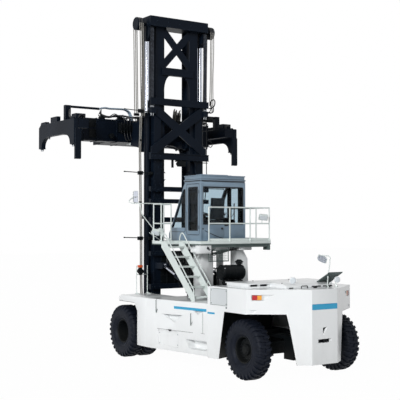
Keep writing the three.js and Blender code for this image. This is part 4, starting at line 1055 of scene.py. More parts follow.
# Hoses over the outer sheaves, their lower ends and the stays that carry them.
HOSE_ROWS = (1.235, 1.285, 1.345)
HOSE = 0.0145
for side, sign in SIDES.items():
    low_end = 7.08 if side == "left" else 7.56
    over, rear, run = Shape(), Shape(), Shape()
    for x in HOSE_ROWS:
        turns = [math.pi * i / 16 for i in range(17)]
        over.pipe([(x, SHEAVE_Y + HOSE_WRAP * math.cos(a), HOSE_SHEAVE_Z + HOSE_WRAP * math.sin(a))
                   for a in turns], HOSE)
        sway = [dice.uniform(-0.008, 0.008) for _ in range(4)]
        heights = [HOSE_SHEAVE_Z, 9.2, 8.4, 7.7, low_end]
        rear.pipe(flowing([(x - 0.012 * i + (sway[i - 1] if i else 0), SHEAVE_Y + HOSE_WRAP, z)
                           for i, z in enumerate(heights)]), HOSE)
        run.pipe(flowing([(x - 0.012 * i, SHEAVE_Y - HOSE_WRAP - 0.002 * i, z)
                          for i, z in enumerate([HOSE_SHEAVE_Z, 9.2, 8.4, 7.7, 7.2])]), HOSE)
    make(f"hoses_over_sheave_{side}", over.on(side), "inner_mast", black_hose)
    piece = make(f"hoses_rear_{side}", rear.on(side), None, grey_hose)
    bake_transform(piece)
    piece = make(f"hoses_front_{side}", run.on(side), None, grey_hose)
    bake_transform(piece)
    rims = Shape()
    for x in (1.202, 1.262, 1.315, 1.376):
        rims.turned([(x - 0.004, 0.06), (x + 0.004, 0.06), (x + 0.004, 0.194), (x - 0.004, 0.194)], 0,
                    SHEAVE_Y, HOSE_SHEAVE_Z, 40)
    rims.bar((1.386, SHEAVE_Y, HOSE_SHEAVE_Z), (1.3895, SHEAVE_Y, HOSE_SHEAVE_Z), 0.05, sides=24)
    make(f"hose_sheave_rims_{side}", rims.on(side), "inner_mast", navy)
    carrier = Shape()
    carrier.block((1.0, 1.33), (SHEAVE_Y - HOSE_WRAP - 0.035, SHEAVE_Y - HOSE_WRAP + 0.02), (7.03, 7.075),
                  0.006)
    carrier.block((1.15, 1.32), (SHEAVE_Y - HOSE_WRAP - 0.04, SHEAVE_Y - HOSE_WRAP + 0.025), (7.12, 7.2),
                  0.01)
    carrier.block((0.98, 1.03), (-0.93, SHEAVE_Y - HOSE_WRAP + 0.02), (7.03, 7.075), 0.006)
    make(f"hose_carrier_{side}", carrier.on(side), "carriage", iron)

stays = Shape()
for x in (-0.02, 0.028):
    stays.pipe(flowing([(1.30 + x, -0.30, 7.08), (1.315 + x, -0.30, 6.6), (1.33 + x, -0.3, 6.05),
                        (1.32 + x, -0.3, 5.38), (1.29 + x, -0.3, 3.45), (1.275 + x, -0.3, 1.95),
                        (1.25 + x, -0.22, 1.55), (1.05 + x, -0.1, 1.35)]), 0.017)
make("mast_supply_hoses", stays, "outer_mast", grey_hose)
stays = Shape()
for z in (7.225, 5.37, 3.42):
    stays.bar((0.86, -0.33, z), (1.86, -0.33, z + 0.03), 0.013, sides=12)
    stays.block((1.24, 1.40), (-0.345, -0.255), (z - 0.055, z + 0.055), 0.012)
    stays.block((0.86, 1.02), (-0.36, -0.30), (z - 0.04, z + 0.04), 0.01)
    stays.bar((1.82, -0.33, z + 0.0288), (1.862, -0.33, z + 0.0301), 0.018, sides=12)
for z in (4.5, 6.35, 2.5):
    stays.block((1.27, 1.36), (-0.325, -0.275), (z - 0.02, z + 0.02), 0.006)
# Right side: a looped end, fittings on their plate and a thin drain line with its ties.
for x, drop in ((-1.225, 0.12), (-1.27, 0.2), (-1.325, 0.16)):
    stays.pipe(flowing([(x, -0.304, 7.57), (x, -0.29, 7.57 - drop), (x + 0.08, -0.26, 7.40 - drop * 0.4),
                        (x + 0.2, -0.24, 7.33), (x + 0.3, -0.25, 7.2 + drop * 0.3),
                        (-0.95, -0.25, 7.12)]), HOSE)
stays.pipe(flowing([(-1.22, -0.3, 7.56), (-1.20, -0.26, 7.68), (-1.27, -0.22, 7.75), (-1.345, -0.24, 7.70),
                    (-1.34, -0.26, 7.58), (-1.25, -0.26, 7.49), (-1.14, -0.27, 7.46)]), 0.017)
stays.block((-1.30, -0.86), (-0.30, -0.275), (7.03, 7.16), 0.006)
for x in (-1.24, -1.16, -1.08, -1.0):
    stays.bar((x, -0.275, 7.09), (x, -0.21, 7.09), 0.019, sides=12)
    stays.bolt((x, -0.27, 7.09), (0, 1, 0), 0.022, 0.02)
stays.pipe(flowing([(-1.02, -0.25, 7.1), (-1.055, -0.28, 6.9), (-1.065, -0.3, 6.5), (-1.065, -0.3, 5.9),
                    (-1.06, -0.3, 5.2), (-1.0, -0.29, 4.6)]), 0.014)
stays.pipe(flowing([(-1.065, -0.3, 6.48), (-1.13, -0.26, 6.44), (-1.22, -0.24, 6.40),
                    (-1.245, -0.25, 6.30), (-1.19, -0.27, 6.25), (-1.12, -0.28, 6.30),
                    (-1.07, -0.29, 6.36)]), 0.013)
for z in (6.75, 6.2, 5.75, 5.3):
    stays.block((-1.10, -0.86), (-0.32, -0.28), (z - 0.012, z + 0.012), 0.004)
# Under the middle cross member: a hanging stop and a lamp box.
stays.bar((0.24, -0.22, 5.56), (0.24, -0.22, 5.80), 0.038, sides=20, edge=0.004)
stays.block((-0.22, 0.13), (-0.26, -0.15), (5.745, 5.785), 0.006)
stays.block((-0.19, 0.06), (-0.27, -0.13), (5.60, 5.75), 0.02)
stays.bar((0.06, -0.2, 5.68), (0.10, -0.2, 5.68), 0.045, sides=20)
make("mast_fittings", stays, "outer_mast", iron)


def corner_web(shape, x, z, run, rise, y0, y1, sign_x, sign_z):
    """A corner plate whose free edge is a hollow curve."""
    curve = []
    for i in range(9):
        a = math.pi / 2 * i / 8
        curve.append((x + sign_x * run * (1 - math.cos(a)), z + sign_z * rise * (1 - math.sin(a))))
    shape.plate("y", [(x, z)] + curve, y0, y1, 0.003)


# Each cross member's lower and upper face, and how far its webs run up and down from it.
CROSSES = ((5.79, 5.99, 0, 0.22), (4.83, 4.97, 0.08, 0.07), (4.47, 4.60, 0.07, 0.09),
           (3.90, 4.05, 0.09, 0.09), (2.90, 3.03, 0.1, 0.12))
webs = Shape()
for s in (1, -1):
    for z, top, up_to, down_to in CROSSES:
        if up_to:
            corner_web(webs, s * 0.622, top - 0.003, up_to, up_to * 1.2, -0.268, -0.24, -s, 1)
        corner_web(webs, s * 0.622, z + 0.003, min(down_to, 0.14), down_to * 1.3, -0.268, -0.24, -s, -1)
for z in (7.54, 5.89, 4.90, 4.535, 3.975, 2.965, 1.975):
    for x in (-0.98, -0.9, -0.72, 0.72, 0.9, 0.98):
        if z < 7.5 or abs(x) < 0.85:
            webs.bolt((x, -0.152, z), (0, 1, 0), 0.017, 0.014)
for z in (5.80, 5.975):
    webs.block((-1.04, 1.04), (-0.16, -0.118), (z - 0.008, z + 0.008), 0.003)
for s in (1, -1):
    for z in (1.2, 2.4, 3.4, 5.2, 6.6):
        webs.block(apart(s, 0.845, 0.872), (-0.72, -0.29), (z - 0.02, z + 0.02), 0.004)
make("outer_mast_webs", webs, "outer_mast", navy)

webs = Shape()
for s in (1, -1):
    corner_web(webs, s * 0.462, 8.383, 0.24, 0.48, -0.372, -0.34, -s, -1)
    corner_web(webs, s * 0.462, 8.607, 0.06, 0.08, -0.40, -0.37, -s, 1)
    corner_web(webs, s * 0.462, 9.823, 0.12, 0.12, -0.372, -0.34, -s, -1)
    corner_web(webs, s * 0.462, 5.203, 0.1, 0.14, -0.40, -0.37, -s, -1)
    corner_web(webs, s * 0.462, 5.397, 0.1, 0.12, -0.40, -0.37, -s, 1)
    webs.block(apart(s, 1.04, 1.0455), (-0.90, -0.26), (9.86, 10.08), 0.002)
    for y in (-0.82, -0.58, -0.34):
        for z in (9.89, 10.05):
            webs.bolt((s * 1.0455, y, z), (s, 0, 0), 0.016, 0.013)
    webs.block(apart(s, 0.867, 1.053), (-0.628, -0.412), (9.4, 9.428), 0.006)
webs.block((-1.0, 1.0), (-0.184, -0.176), (9.84, 9.852), 0.002)
webs.block((-1.0, 1.0), (-0.184, -0.176), (10.09, 10.102), 0.002)
for x in (-0.8, -0.4, 0.0, 0.4, 0.8):
    webs.bolt((x, -0.181, 9.97), (0, 1, 0), 0.02, 0.012)
for x in (-0.5, -0.25, 0.0, 0.25, 0.5):
    webs.bolt((x, -0.288, 8.5), (0, 1, 0), 0.014, 0.01)
make("inner_mast_webs", webs, "inner_mast", navy)


# ---- Carriage and spreader ------------------------------------------------------------------
BOX_TOP, BOX_FACE = 7.13, -2.0
LOCK_X, LOCK_FRONT_Y, LOCK_REAR_Y = 2.9265, -3.7895, -1.5305
rig = Shape()
for s in (1, -1):
    for x in (0.3, 0.6, 0.85):
        for z in (6.16, 6.95):
            rig.bolt((s * x, -0.87, z), (0, 1, 0), 0.026, 0.022)
    for z in (6.3, 6.83):
        rig.bar((s * 0.41, -0.585, z), (s * 0.548, -0.585, z), 0.158, sides=36, edge=0.006)
    rig.block(apart(s, 0.80, 0.96), (-0.872, -0.84), (6.30, 6.78), 0.006)
    for near, far in ((0.90, 0.93), (1.0, 1.03)):
        rig.plate("x", [(-0.87, 7.02), (-0.70, 7.02), (-0.87, 6.72)], *apart(s, near, far))
make("carriage_fittings", rig, "carriage", navy)

rig = Shape()
for x, reach in ((-0.20, 0.34), (-0.245, 0.30), (-0.30, 0.36), (-0.35, 0.28), (-0.40, 0.33),
                 (-0.445, 0.26)):
    rig.pipe(flowing([(x, -0.875, 7.05), (x - 0.01, -0.86, 7.05 + reach * 0.7),
                      (x - 0.035, -0.90, 7.06 + reach), (x - 0.07, -0.97, 7.06 + reach * 0.92),
                      (x - 0.075, -1.02, 7.05 + reach * 0.4), (x - 0.06, -1.05, 6.99)]), HOSE)
make("carriage_hose_loops", rig, "carriage", black_hose)
rig = Shape()
for x, reach in ((-0.225, 0.385), (-0.27, 0.33), (-0.425, 0.36)):
    rig.pipe(flowing([(x, -0.885, 7.05), (x + 0.01, -0.84, 7.05 + reach * 0.75),
                      (x - 0.03, -0.87, 7.06 + reach), (x - 0.06, -0.96, 7.06 + reach * 0.85),
                      (x - 0.06, -1.03, 7.0)]), 0.014)
make("carriage_pale_loops", rig, "carriage", grey_hose)
rig = Shape()
rig.block((-0.56, -0.14), (-1.03, -0.935), (6.97, 7.02), 0.006)
rig.block((-0.52, -0.16), (-1.10, -0.99), (6.84, 6.98), 0.008)
for x in (-0.20, -0.25, -0.30, -0.35, -0.40, -0.45):
    rig.bar((x, -0.875, 6.98), (x, -0.875, 7.06), 0.021, sides=6)
make("carriage_manifold", rig, "carriage", iron)

# Frame of the spreader: ribs, hatches, hoses, valve block and the pads its beams slide on.
for number, (s, y0, closed) in enumerate(((1, -2.42, 2.3), (-1, -3.32, 1.35))):
    rig = Shape()
    face, back = y0 + 0.42, y0
    ends = sorted((s * -closed, s * 2.45))
    for x in (s * 2.435, s * 1.9, s * 1.2, s * 0.4, s * -0.7, s * (-closed + 0.02)):
        rig.block((x - 0.014, x + 0.014), (back - 0.012, face + 0.012), (6.415, BOX_TOP + 0.018), 0.004)
    rig.block(apart(s, 2.36, 2.452), (back - 0.02, face + 0.02), (BOX_TOP, BOX_TOP + 0.028), 0.006)
    rig.block(apart(s, 2.36, 2.452), (back - 0.02, face + 0.02), (6.402, 6.43), 0.006)
    for y in (back - 0.02, face):
        rig.block(apart(s, 2.36, 2.452), (y, y + 0.02), (6.43, BOX_TOP), 0.004)
    for x in (ends[0] + 0.25, ends[0] + 0.9, ends[0] + 1.5, ends[1] - 0.6):
        for z in (6.48, 7.08):
            rig.bolt((x, face, z), (0, 1, 0), 0.022, 0.016)
            rig.bolt((x, back, z), (0, -1, 0), 0.022, 0.016)
    rig.block((ends[0] + 0.05, ends[1] - 0.1), (face, face + 0.016), (6.435, 6.47), 0.003)
    rig.block((ends[0] + 0.05, ends[1] - 0.1), (face, face + 0.016), (7.09, 7.125), 0.003)
    make(f"spreader_ribs_{number}", rig, "carriage", navy)

rig = Shape()
for x, z in ((2.05, 6.98), (2.05, 6.66), (-1.75, 6.98), (-1.75, 6.66)):
    rig.block((x - 0.12, x + 0.12), (BOX_FACE, BOX_FACE + 0.02), (z - 0.13, z + 0.13), 0.01)
    for dx, dz in ((-0.1, -0.11), (0.1, -0.11), (-0.1, 0.11), (0.1, 0.11)):
        rig.bolt((x + dx, BOX_FACE + 0.02, z + dz), (0, 1, 0), 0.014, 0.01)
rig.block((0.50, 1.16), (BOX_FACE, BOX_FACE + 0.10), (6.74, 7.02), 0.012)
VALVES = [0.57 + i * 0.105 for i in range(6)]
PORT_Y = BOX_FACE + 0.13
for x in VALVES:
    rig.block((x - 0.04, x + 0.04), (BOX_FACE + 0.10, BOX_FACE + 0.16), (6.78, 6.98), 0.008)
    for low, high in ((6.98, 7.05), (6.70, 6.78)):
        rig.bar((x, PORT_Y, low), (x, PORT_Y, high), 0.017, sides=6)
rig.bar((1.42, BOX_FACE, 6.60), (1.42, BOX_FACE + 0.13, 6.60), 0.075, sides=28, edge=0.008)
rig.bar((1.42, BOX_FACE + 0.13, 6.60), (1.42, BOX_FACE + 0.16, 6.60), 0.05, sides=20)
rig.block((0.05, 0.40), (BOX_FACE, BOX_FACE + 0.14), (6.50, 6.68), 0.016)
rig.block((1.62, 1.80), (BOX_FACE - 0.10, BOX_FACE + 0.03), (7.13, 7.20), 0.01)
rig.block((-0.2, 0.3), (-2.32, -2.08), (7.13, 7.24), 0.014)
rig.block((0.8, 1.05), (-2.30, -2.12), (7.13, 7.22), 0.012)
for x in (0.1, 1.1, 1.7):
    rig.block((x - 0.03, x + 0.03), (-2.12, -2.03), (7.13, 7.26), 0.006)
make("spreader_valve_gear", rig, "carriage", iron)

rig = Shape()
for dy, lift in ((0.0, 0.0), (-0.045, 0.012), (-0.09, -0.008), (-0.135, 0.006)):
    rig.pipe(flowing([(1.71, -2.06 + dy, 7.46 + lift), (1.55, -2.06 + dy, 7.488 + lift),
                      (1.38, -2.07 + dy, 7.478 + lift), (1.10, -2.07 + dy, 7.487 + lift),
                      (0.86, -2.07 + dy, 7.484 + lift), (0.70, -2.07 + dy, 7.42 + lift),
                      (0.632, -2.06 + dy, 7.30 + lift), (0.622, -2.05 + dy, 7.22 + lift),
                      (0.62, -2.04 + dy, 7.13)]), 0.018)
make("spreader_pale_hoses", rig, "carriage", blue_hose)
rig = Shape()
for i in range(6):
    y = -2.08 - 0.035 * i
    sag = [dice.uniform(-0.05, 0.05) for _ in range(6)]
    rig.pipe(flowing([(1.71, y, 7.44 - 0.03 * i), (1.68, y, 7.28 + sag[0]), (1.44, y + 0.02, 7.22 + sag[1]),
                      (1.15, y, 7.29 + sag[2]), (0.90, y + 0.02, 7.25 + sag[3]), (0.54, y, 7.27 + sag[4]),
                      (0.24, y, 7.25 + sag[5]), (0.1 - 0.05 * i, y, 7.16)]), HOSE)
for i, x in enumerate(VALVES[:5]):
    rig.pipe(flowing([(x, PORT_Y, 7.05), (x + 0.01, PORT_Y + 0.005, 7.12),
                      (x + 0.03, PORT_Y - 0.04, 7.20 + 0.02 * i), (x + 0.02, -2.06, 7.22),
                      (x, -2.14, 7.15)]), 0.013)
    rig.pipe(flowing([(x, PORT_Y, 6.70), (x - 0.02, PORT_Y, 6.60),
                      (x - 0.1, PORT_Y - 0.04, 6.53 - 0.01 * i),
                      (x - 0.25, PORT_Y - 0.07, 6.52), (0.2 - 0.02 * i, PORT_Y - 0.07, 6.58)]), 0.013)
make("spreader_black_hoses", rig, "carriage", black_hose)
rig = Shape()
rig.block((-0.30, 0.62), (-2.41, -2.01), (6.412, 6.43), 0.004)
rig.block((0.31, 0.72), (-2.03, -1.995), (6.35, 6.432), 0.004)
make("spreader_guard", rig, "carriage", pale)

for side, s in SIDES.items():
    nose, tail = -3.8895, -1.3505
    beam = Shape()
    # Lips round the end plate and its arch.
    beam.block(apart(s, 2.86, 2.985), (tail - 0.012, tail + 0.012), (6.25, 6.98), 0.004)
    beam.block(apart(s, 2.515, 2.985), (nose + 0.14, tail + 0.01), (7.0, 7.014), 0.005)
    for y in (-1.6, -2.0, -2.6, -3.1, -3.6):
        beam.block(apart(s, 2.97, 2.998), (y - 0.012, y + 0.012),
                   (6.62 if -2.9 < y < -1.9 else 6.5, 6.98), 0.003)
    for y in (LOCK_REAR_Y, LOCK_FRONT_Y):
        beam.bar((s * LOCK_X, y, 6.25), (s * LOCK_X, y, 6.215), 0.055, sides=24)
        beam.block(apart(s, 2.84, 2.995), (y - 0.10, y + 0.10), (6.238, 6.262), 0.006)
        beam.bar((s * LOCK_X, y, 7.0), (s * LOCK_X, y, 7.06), 0.05, sides=20, edge=0.006)
        beam.block(apart(s, 2.70, 2.83), (y - 0.08, y + 0.08), (7.0, 7.09), 0.012)
    beam.block(apart(s, 2.70, 2.79), (-3.55, -1.75), (7.012, 7.05), 0.006)
    for y in (-3.5, -3.0, -2.4, -1.85):
        beam.bolt((s * 2.745, y, 7.05), (0, 0, 1), 0.024, 0.018)
    guide = [(tail + 0.005, 6.72), (tail + 0.065, 6.70), (tail + 0.07, 5.82), (tail + 0.04, 5.79),
             (tail + 0.02, 5.82)]
    for near, far in ((2.79, 2.802), (2.968, 2.98)):
        beam.plate("x", guide, *apart(s, near, far), 0.003)
    make(f"end_beam_fittings_{side}", beam, f"spreader_beam_{side}", navy)
    beam = Shape()
    post = -2.25 if side == "left" else -3.07
    for i in range(5):
        y = post + 0.10 + 0.03 * i
        beam.pipe(flowing([(s * 2.75, post + 0.02 * i, 7.38),
                           (s * (2.79 + 0.01 * i), y + 0.02, 7.22 + 0.02 * i), (s * 2.80, y + 0.09, 7.12),
                           (s * (2.76 - 0.01 * i), y + 0.22, 7.06),
                           (s * 2.72, y + 0.42 + 0.05 * i, 7.05)]), 0.012)
    for i in range(4):
        y = tail - 0.06 - 0.05 * i
        beam.pipe(flowing([(s * 2.60, y, 6.99), (s * 2.62, y + 0.02, 7.09 + 0.015 * i),
                           (s * 2.72, y, 7.13), (s * 2.80, y - 0.03, 7.06), (s * 2.79, y - 0.05, 6.99)]),
                           0.012)
    make(f"end_beam_hoses_{side}", beam, f"spreader_beam_{side}", black_hose)
    for place, y in (("front", LOCK_FRONT_Y), ("rear", LOCK_REAR_Y)):
        lock = Shape()
        lock.bar((s * LOCK_X, y, 6.18), (s * LOCK_X, y, 6.42), 0.0302, sides=28)
        lock.plate("z", rounded([(s * LOCK_X - 0.026, y - 0.052), (s * LOCK_X + 0.026, y - 0.052),
                                 (s * LOCK_X + 0.026, y + 0.052),
                                 (s * LOCK_X - 0.026, y + 0.052)], 0.018), 6.17, 6.225, 0.010)
        make(f"lock_{place}_{side}", lock, f"twistlock_{place}_{side}", plated,
             [f"twistlock_{place}_{side}"])


# ---- Cab ------------------------------------------------------------------------------------
CAB_TOP, SILL, WINDOW_TOP = 5.03, 3.83, 4.90
PLATFORM_TOP = 3.37
PANE_LOW, PANE_HIGH = SILL + 0.002, WINDOW_TOP - 0.002


def screen_y(z):
    """Where the slanted windscreen stands at a height."""
    return 0.45 + (z - 3.56) * 0.578


def indoors(at, normal):
    """The faces of the cab that look into it."""
    middle = Vector((0, 1.3, 4.3))
    return abs(at.x) < 0.775 and at.y < 2.115 and at.z > 3.49 and normal.dot(middle - at) > 0.02 \
        and at.y > screen_y(max(at.z, 3.56)) + 0.012


shell = copy_of("cab_shell", "cab_skin", whole=False)
# The quarter lights and the screen reach lower than the other windows.
wider = Shape()
LOW_SILL = 3.62
quarter = [(screen_y(LOW_SILL) + 0.06, LOW_SILL), (1.335, LOW_SILL), (1.335, 4.84),
           (screen_y(4.84) + 0.05, 4.84)]
for s in (1, -1):
    wider.plate("x", quarter, *apart(s, 0.70, 0.80), 0.0)
wider.plate("x", [(screen_y(z) + away, z) for z, away in ((LOW_SILL, -0.1), (LOW_SILL, 0.1), (3.9, 0.1),
                                                          (3.9, -0.1))], -0.699, 0.699, 0.0)
carve(shell, wider)
soft_edges(shell, 0.006)
fit(shell, "chassis", cab_blue, ["cab_shell"])
line(shell, gutter, indoors)

door = softened("cab_door", "door_skin", 0.005, "cab_door", cab_blue, whole=False)
line(door, gutter, lambda at, normal: normal.x < -0.5)


def gasket(shape, corners, radius=0.012):
    """A rubber bead round an opening with rounded corners."""
    ring = []
    count = len(corners)
    for i in range(count):
        here, before, after = Vector(corners[i]), Vector(corners[i - 1]), Vector(corners[(i + 1) % count])
        to, on = (before - here).normalized() * 0.06, (after - here).normalized() * 0.06
        for k in range(5):
            t = k / 4
            ring.append(here + to * (1 - t) ** 2 + on * t ** 2)
    return shape.pipe(ring + [ring[0]], radius)


BEAD_LOW, BEAD_HIGH = SILL + 0.01, WINDOW_TOP - 0.01
beads = Shape()
gasket(beads, [(x, 2.121, z) for x, z in ((-0.695, BEAD_LOW), (0.695, BEAD_LOW), (0.695, BEAD_HIGH),
                                          (-0.695, BEAD_HIGH))])
gasket(beads, [(-0.781, y, z) for y, z in ((1.41, BEAD_LOW), (2.03, BEAD_LOW), (2.03, BEAD_HIGH),
                                           (1.41, BEAD_HIGH))])
for s in (1, -1):
    gasket(beads, [(s * 0.781, y, z) for y, z in quarter], 0.009)
gasket(beads, [(x, screen_y(z) - 0.002, z) for x, z in ((-0.69, LOW_SILL + 0.01), (0.69, LOW_SILL + 0.01),
                                                        (0.69, WINDOW_TOP - 0.02),
                                                        (-0.69, WINDOW_TOP - 0.02))])
# Wiper with its motor on the rear window, lock, handles and drip edges.
beads.block((-0.16, -0.04), (2.10, 2.15), (3.79, 3.86), 0.014)
beads.bar((-0.10, 2.13, 3.83), (-0.10, 2.16, 3.83), 0.018, sides=16)
beads.bar((-0.10, 2.15, 3.83), (-0.37, 2.14, 4.18), 0.007, sides=8)
beads.block((-0.385, -0.355), (2.125, 2.143), (3.92, 4.44), 0.004)
beads.bar((0.70, 2.121, 3.71), (0.70, 2.128, 3.71), 0.022, sides=20)
beads.bar((0.05, 2.12, 3.72), (0.05, 2.15, 3.72), 0.026, sides=18)
beads.block((0.02, 0.08), (2.12, 2.14), (3.695, 3.745), 0.01)
beads.pipe(flowing([(0.64, 2.128, 3.66), (0.40, 2.132, 3.56), (0.14, 2.132, 3.47), (0.02, 2.13, 3.44)]),
           0.009)
make("window_rubbers", beads, "chassis", gutter)
beads = Shape()
gasket(beads, [(0.781, 1.50, 3.665), (0.781, 1.97, 3.665), (0.781, 1.97, 4.885), (0.781, 1.50, 4.885)])
gasket(beads, [(0.7825, 1.412, 3.542), (0.7825, 2.058, 3.542), (0.7825, 2.058, 4.973),
               (0.7825, 1.412, 4.973)], 0.004)
for z in (3.75, 4.75):
    beads.bar((0.79, 2.052, z - 0.05), (0.79, 2.052, z + 0.05), 0.011, sides=14)
make("door_rubbers", beads, "cab_door", gutter)

panes = Shape()
panes.plate("y", [(-0.698, PANE_LOW), (0.698, PANE_LOW), (0.698, PANE_HIGH), (-0.698, PANE_HIGH)],
            2.097, 2.103, 0.0)
panes.plate("x", [(1.402, PANE_LOW), (2.038, PANE_LOW), (2.038, PANE_HIGH), (1.402, PANE_HIGH)],
            -0.763, -0.757, 0.0)
for s in (1, -1):
    panes.plate("x", [(y + (0.003 if y < 1.3 else -0.003), z + (0.003 if z < 4 else -0.003)) for y,
                      z in quarter],
                *apart(s, 0.757, 0.763), 0.0)
SCREEN_LOW, SCREEN_HIGH = LOW_SILL + 0.002, 4.897
panes.plate("x", [(screen_y(z) + deep, z) for z, deep in ((SCREEN_LOW, 0.017), (SCREEN_LOW, 0.023),
                                                          (SCREEN_HIGH, 0.023), (SCREEN_HIGH, 0.017))],
            -0.697, 0.697, 0.0)
make("cab_panes", panes, "chassis", glass, ["cab_glass"])

fitments = Shape()
fitments.block((-0.765, -0.735), (1.80, 2.08), (3.55, 4.99), 0.01)
fitments.block((-0.765, -0.735), (1.27, 1.43), (3.55, 4.99), 0.01)
fitments.block((-0.73, -0.45), (1.0, 1.7), (3.49, 3.98), 0.03)
fitments.block((-0.68, -0.50), (1.05, 1.55), (3.98, 4.03), 0.02)
for i in range(4):
    fitments.bar((-0.60, 1.12 + 0.1 * i, 4.03), (-0.60, 1.11 + 0.1 * i, 4.15), 0.008, sides=8)
    fitments.ball((-0.60, 1.11 + 0.1 * i, 4.165), 0.02)
fitments.block((-0.45, 0.45), (0.64, 0.80), (3.49, 3.92), 0.04)
fitments.block((-0.36, 0.10), (0.80, 0.88), (3.86, 4.02), 0.03)
fitments.block((-0.72, 0.72), (2.0, 2.07), (3.49, 3.80), 0.02)
fitments.block((-0.70, 0.70), (1.34, 2.06), (4.93, 5.02), 0.03)
fitments.block((-0.70, 0.70), (0.50, 2.05), (3.482, 3.496), 0.004)
fitments.bar((0, 1.05, 3.52), (0, 1.105, 4.10), 0.045, sides=16)
fitments.block((-0.13, 0.13), (0.98, 1.09), (3.49, 3.72), 0.03)
fitments.pipe([(0.20 * math.cos(a), 1.118 + 0.195 * math.sin(a), 4.115 - 0.075 * math.sin(a))
               for a in [*around(28), 2 * math.pi]], 0.016)
for a in (turn + 0.5 for turn in around(3)):
    fitments.bar((0, 1.115, 4.10), (0.19 * math.cos(a), 1.118 + 0.185 * math.sin(a),
                                    4.115 - 0.07 * math.sin(a)), 0.010, sides=8)
fitments.ball((0, 1.115, 4.11), 0.05, (1, 1, 0.5))
fitments.block((-0.2, 0.2), (1.38, 1.76), (3.49, 3.70), 0.02)
fitments.block((-0.15, 0.15), (1.42, 1.72), (3.70, 3.86), 0.03)
for s in (1, -1):
    fitments.bar((s * 0.285, 1.72, 4.02), (s * 0.285, 1.48, 4.10), 0.022, sides=12)
    fitments.block(apart(s, 0.25, 0.32), (1.45, 1.78), (4.09, 4.14), 0.02)
make("cab_fitments", fitments, "chassis", iron, ["control_console"])

# Roof: a gutter, a raised cover plate, a fin and the hose fittings at its front.
crown = Shape()
crown.block((-0.77, 0.77), (1.27, 2.11), (CAB_TOP, CAB_TOP + 0.045), 0.004)
crown.block((-0.78, 0.78), (1.242, 2.138), (5.072, 5.105), 0.008)
crown.block((-0.755, 0.755), (1.262, 2.118), (5.105, 5.20), 0.012)
crown.block((-0.772, 0.772), (1.246, 2.134), (5.195, 5.225), 0.008)
crown.block((-0.24, 0.66), (1.34, 2.02), (5.225, 5.2495), 0.006)
crown.plate("y", [(-0.44, 5.22), (-0.40, 5.22), (-0.41, 5.249), (-0.43, 5.249)], 1.5, 1.9, 0.002)
make("roof_skin", crown, "chassis", cab_blue, ["cab_roof"])
trim = Shape()
trim.block((-0.779, 0.779), (1.2435, 2.1365), (5.105, 5.112), 0.002)
trim.block((-0.745, 0.745), (2.12, 2.136), (5.046, 5.072), 0.004)
trim.block((0.765, 0.779), (1.3, 2.1), (5.048, 5.072), 0.004)
for y in (1.30, 1.42, 1.54, 1.66):
    trim.bar((0.70, y, 5.22), (0.70, y, 5.249), 0.02, sides=10)
    trim.bar((0.62, y + 0.03, 5.232), (0.735, y - 0.02, 5.238), 0.010, sides=8)
trim.bar((0.68, 1.27, 5.236), (0.68, 1.72, 5.236), 0.011, sides=8)
make("roof_trim", trim, "chassis", gutter)

panel = Shape()
for x0, x1 in ((-0.72, -0.05), (0.0, 0.62)):
    panel.block((x0, x1), (2.118, 2.124), (3.45, 3.70), 0.003)
panel.block((-0.755, 0.755), (2.117, 2.128), (3.372, 3.40), 0.003)
panel.block((0.778, 0.786), (0.60, 1.33), (3.42, 3.74), 0.003)
for z in (3.78, 4.4, 4.95):
    panel.block((0.778, 0.79), (2.075, 2.105), (z - 0.03, z + 0.03), 0.004)
panel.block((0.70, 0.77), (2.118, 2.126), (3.40, 5.0), 0.003)
panel.block((-0.77, -0.71), (2.118, 2.126), (3.40, 5.0), 0.003)
make("cab_panels", panel, "chassis", cab_blue)


PAD_GRAIN, PAD_SWELL = 0.006, 0.012
PAD_PRESSURE, PAD_FRAMES, PAD_FILL = 4, 20, 0.7
LEAN_FROM, BACK_LEAN = 3.98, 0.10


def cushion(name, low, high, grain):
    """A block with an even mesh, fine enough to be blown out as a cushion."""
    form = Shape().block((low[0], high[0]), (low[1], high[1]), (low[2], high[2]), 0.03)
    piece = form.object(name)
    bpy.context.view_layer.objects.active = piece
    remesh = piece.modifiers.new("even", "REMESH")
    remesh.mode, remesh.voxel_size = "VOXEL", grain
    settled(piece)
    return piece


def stuffed(piece, most):
    """Blows the cover out with cloth pressure, no vertex further than `most`."""
    rest = [v.co.copy() for v in piece.data.vertices]
    cloth = piece.modifiers.new("stuffing", "CLOTH")
    cloth.settings.use_pressure = True
    cloth.settings.uniform_pressure_force = PAD_PRESSURE
    cloth.settings.effector_weights.gravity = 0
    cloth.point_cache.frame_start, cloth.point_cache.frame_end = 1, PAD_FRAMES
    scene = bpy.context.scene
    for number in range(1, PAD_FRAMES + 1):
        scene.frame_set(number)
    settled(piece)
    scene.frame_set(1)
    for vertex, home in zip(piece.data.vertices, rest):
        step = vertex.co - home
        if step.length > most:
            vertex.co = home + step * (most / step.length)
    return piece


def seat_piece(name, low, high):
    """One cushion of the driver's seat, its upper part leaning back."""
    pad = stuffed(cushion(name, low, high, PAD_GRAIN), PAD_SWELL)
    for vertex in pad.data.vertices:
        vertex.co.y += max(0.0, vertex.co.z - LEAN_FROM) * BACK_LEAN
    finer = pad.modifiers.new("finer", "SUBSURF")
    finer.levels = finer.render_levels = 1
    fit(settled(pad), "chassis", vinyl, ["operator_seat"], 60)


seat_piece("seat_base", (-0.25, 1.30, 3.865), (0.25, 1.78, 3.955))
seat_piece("seat_back", (-0.24, 1.745, 3.96), (0.24, 1.83, 4.60))

# ---- Platform, rails and stairs -------------------------------------------------------------
deck = softened("platform", "platform_deck", 0.006, "chassis", pale)
# Its faces that look down take the darker grey: painted shade under the platform.
line(deck, grey_and_painted_shade, lambda at, normal: normal.z < -0.5)

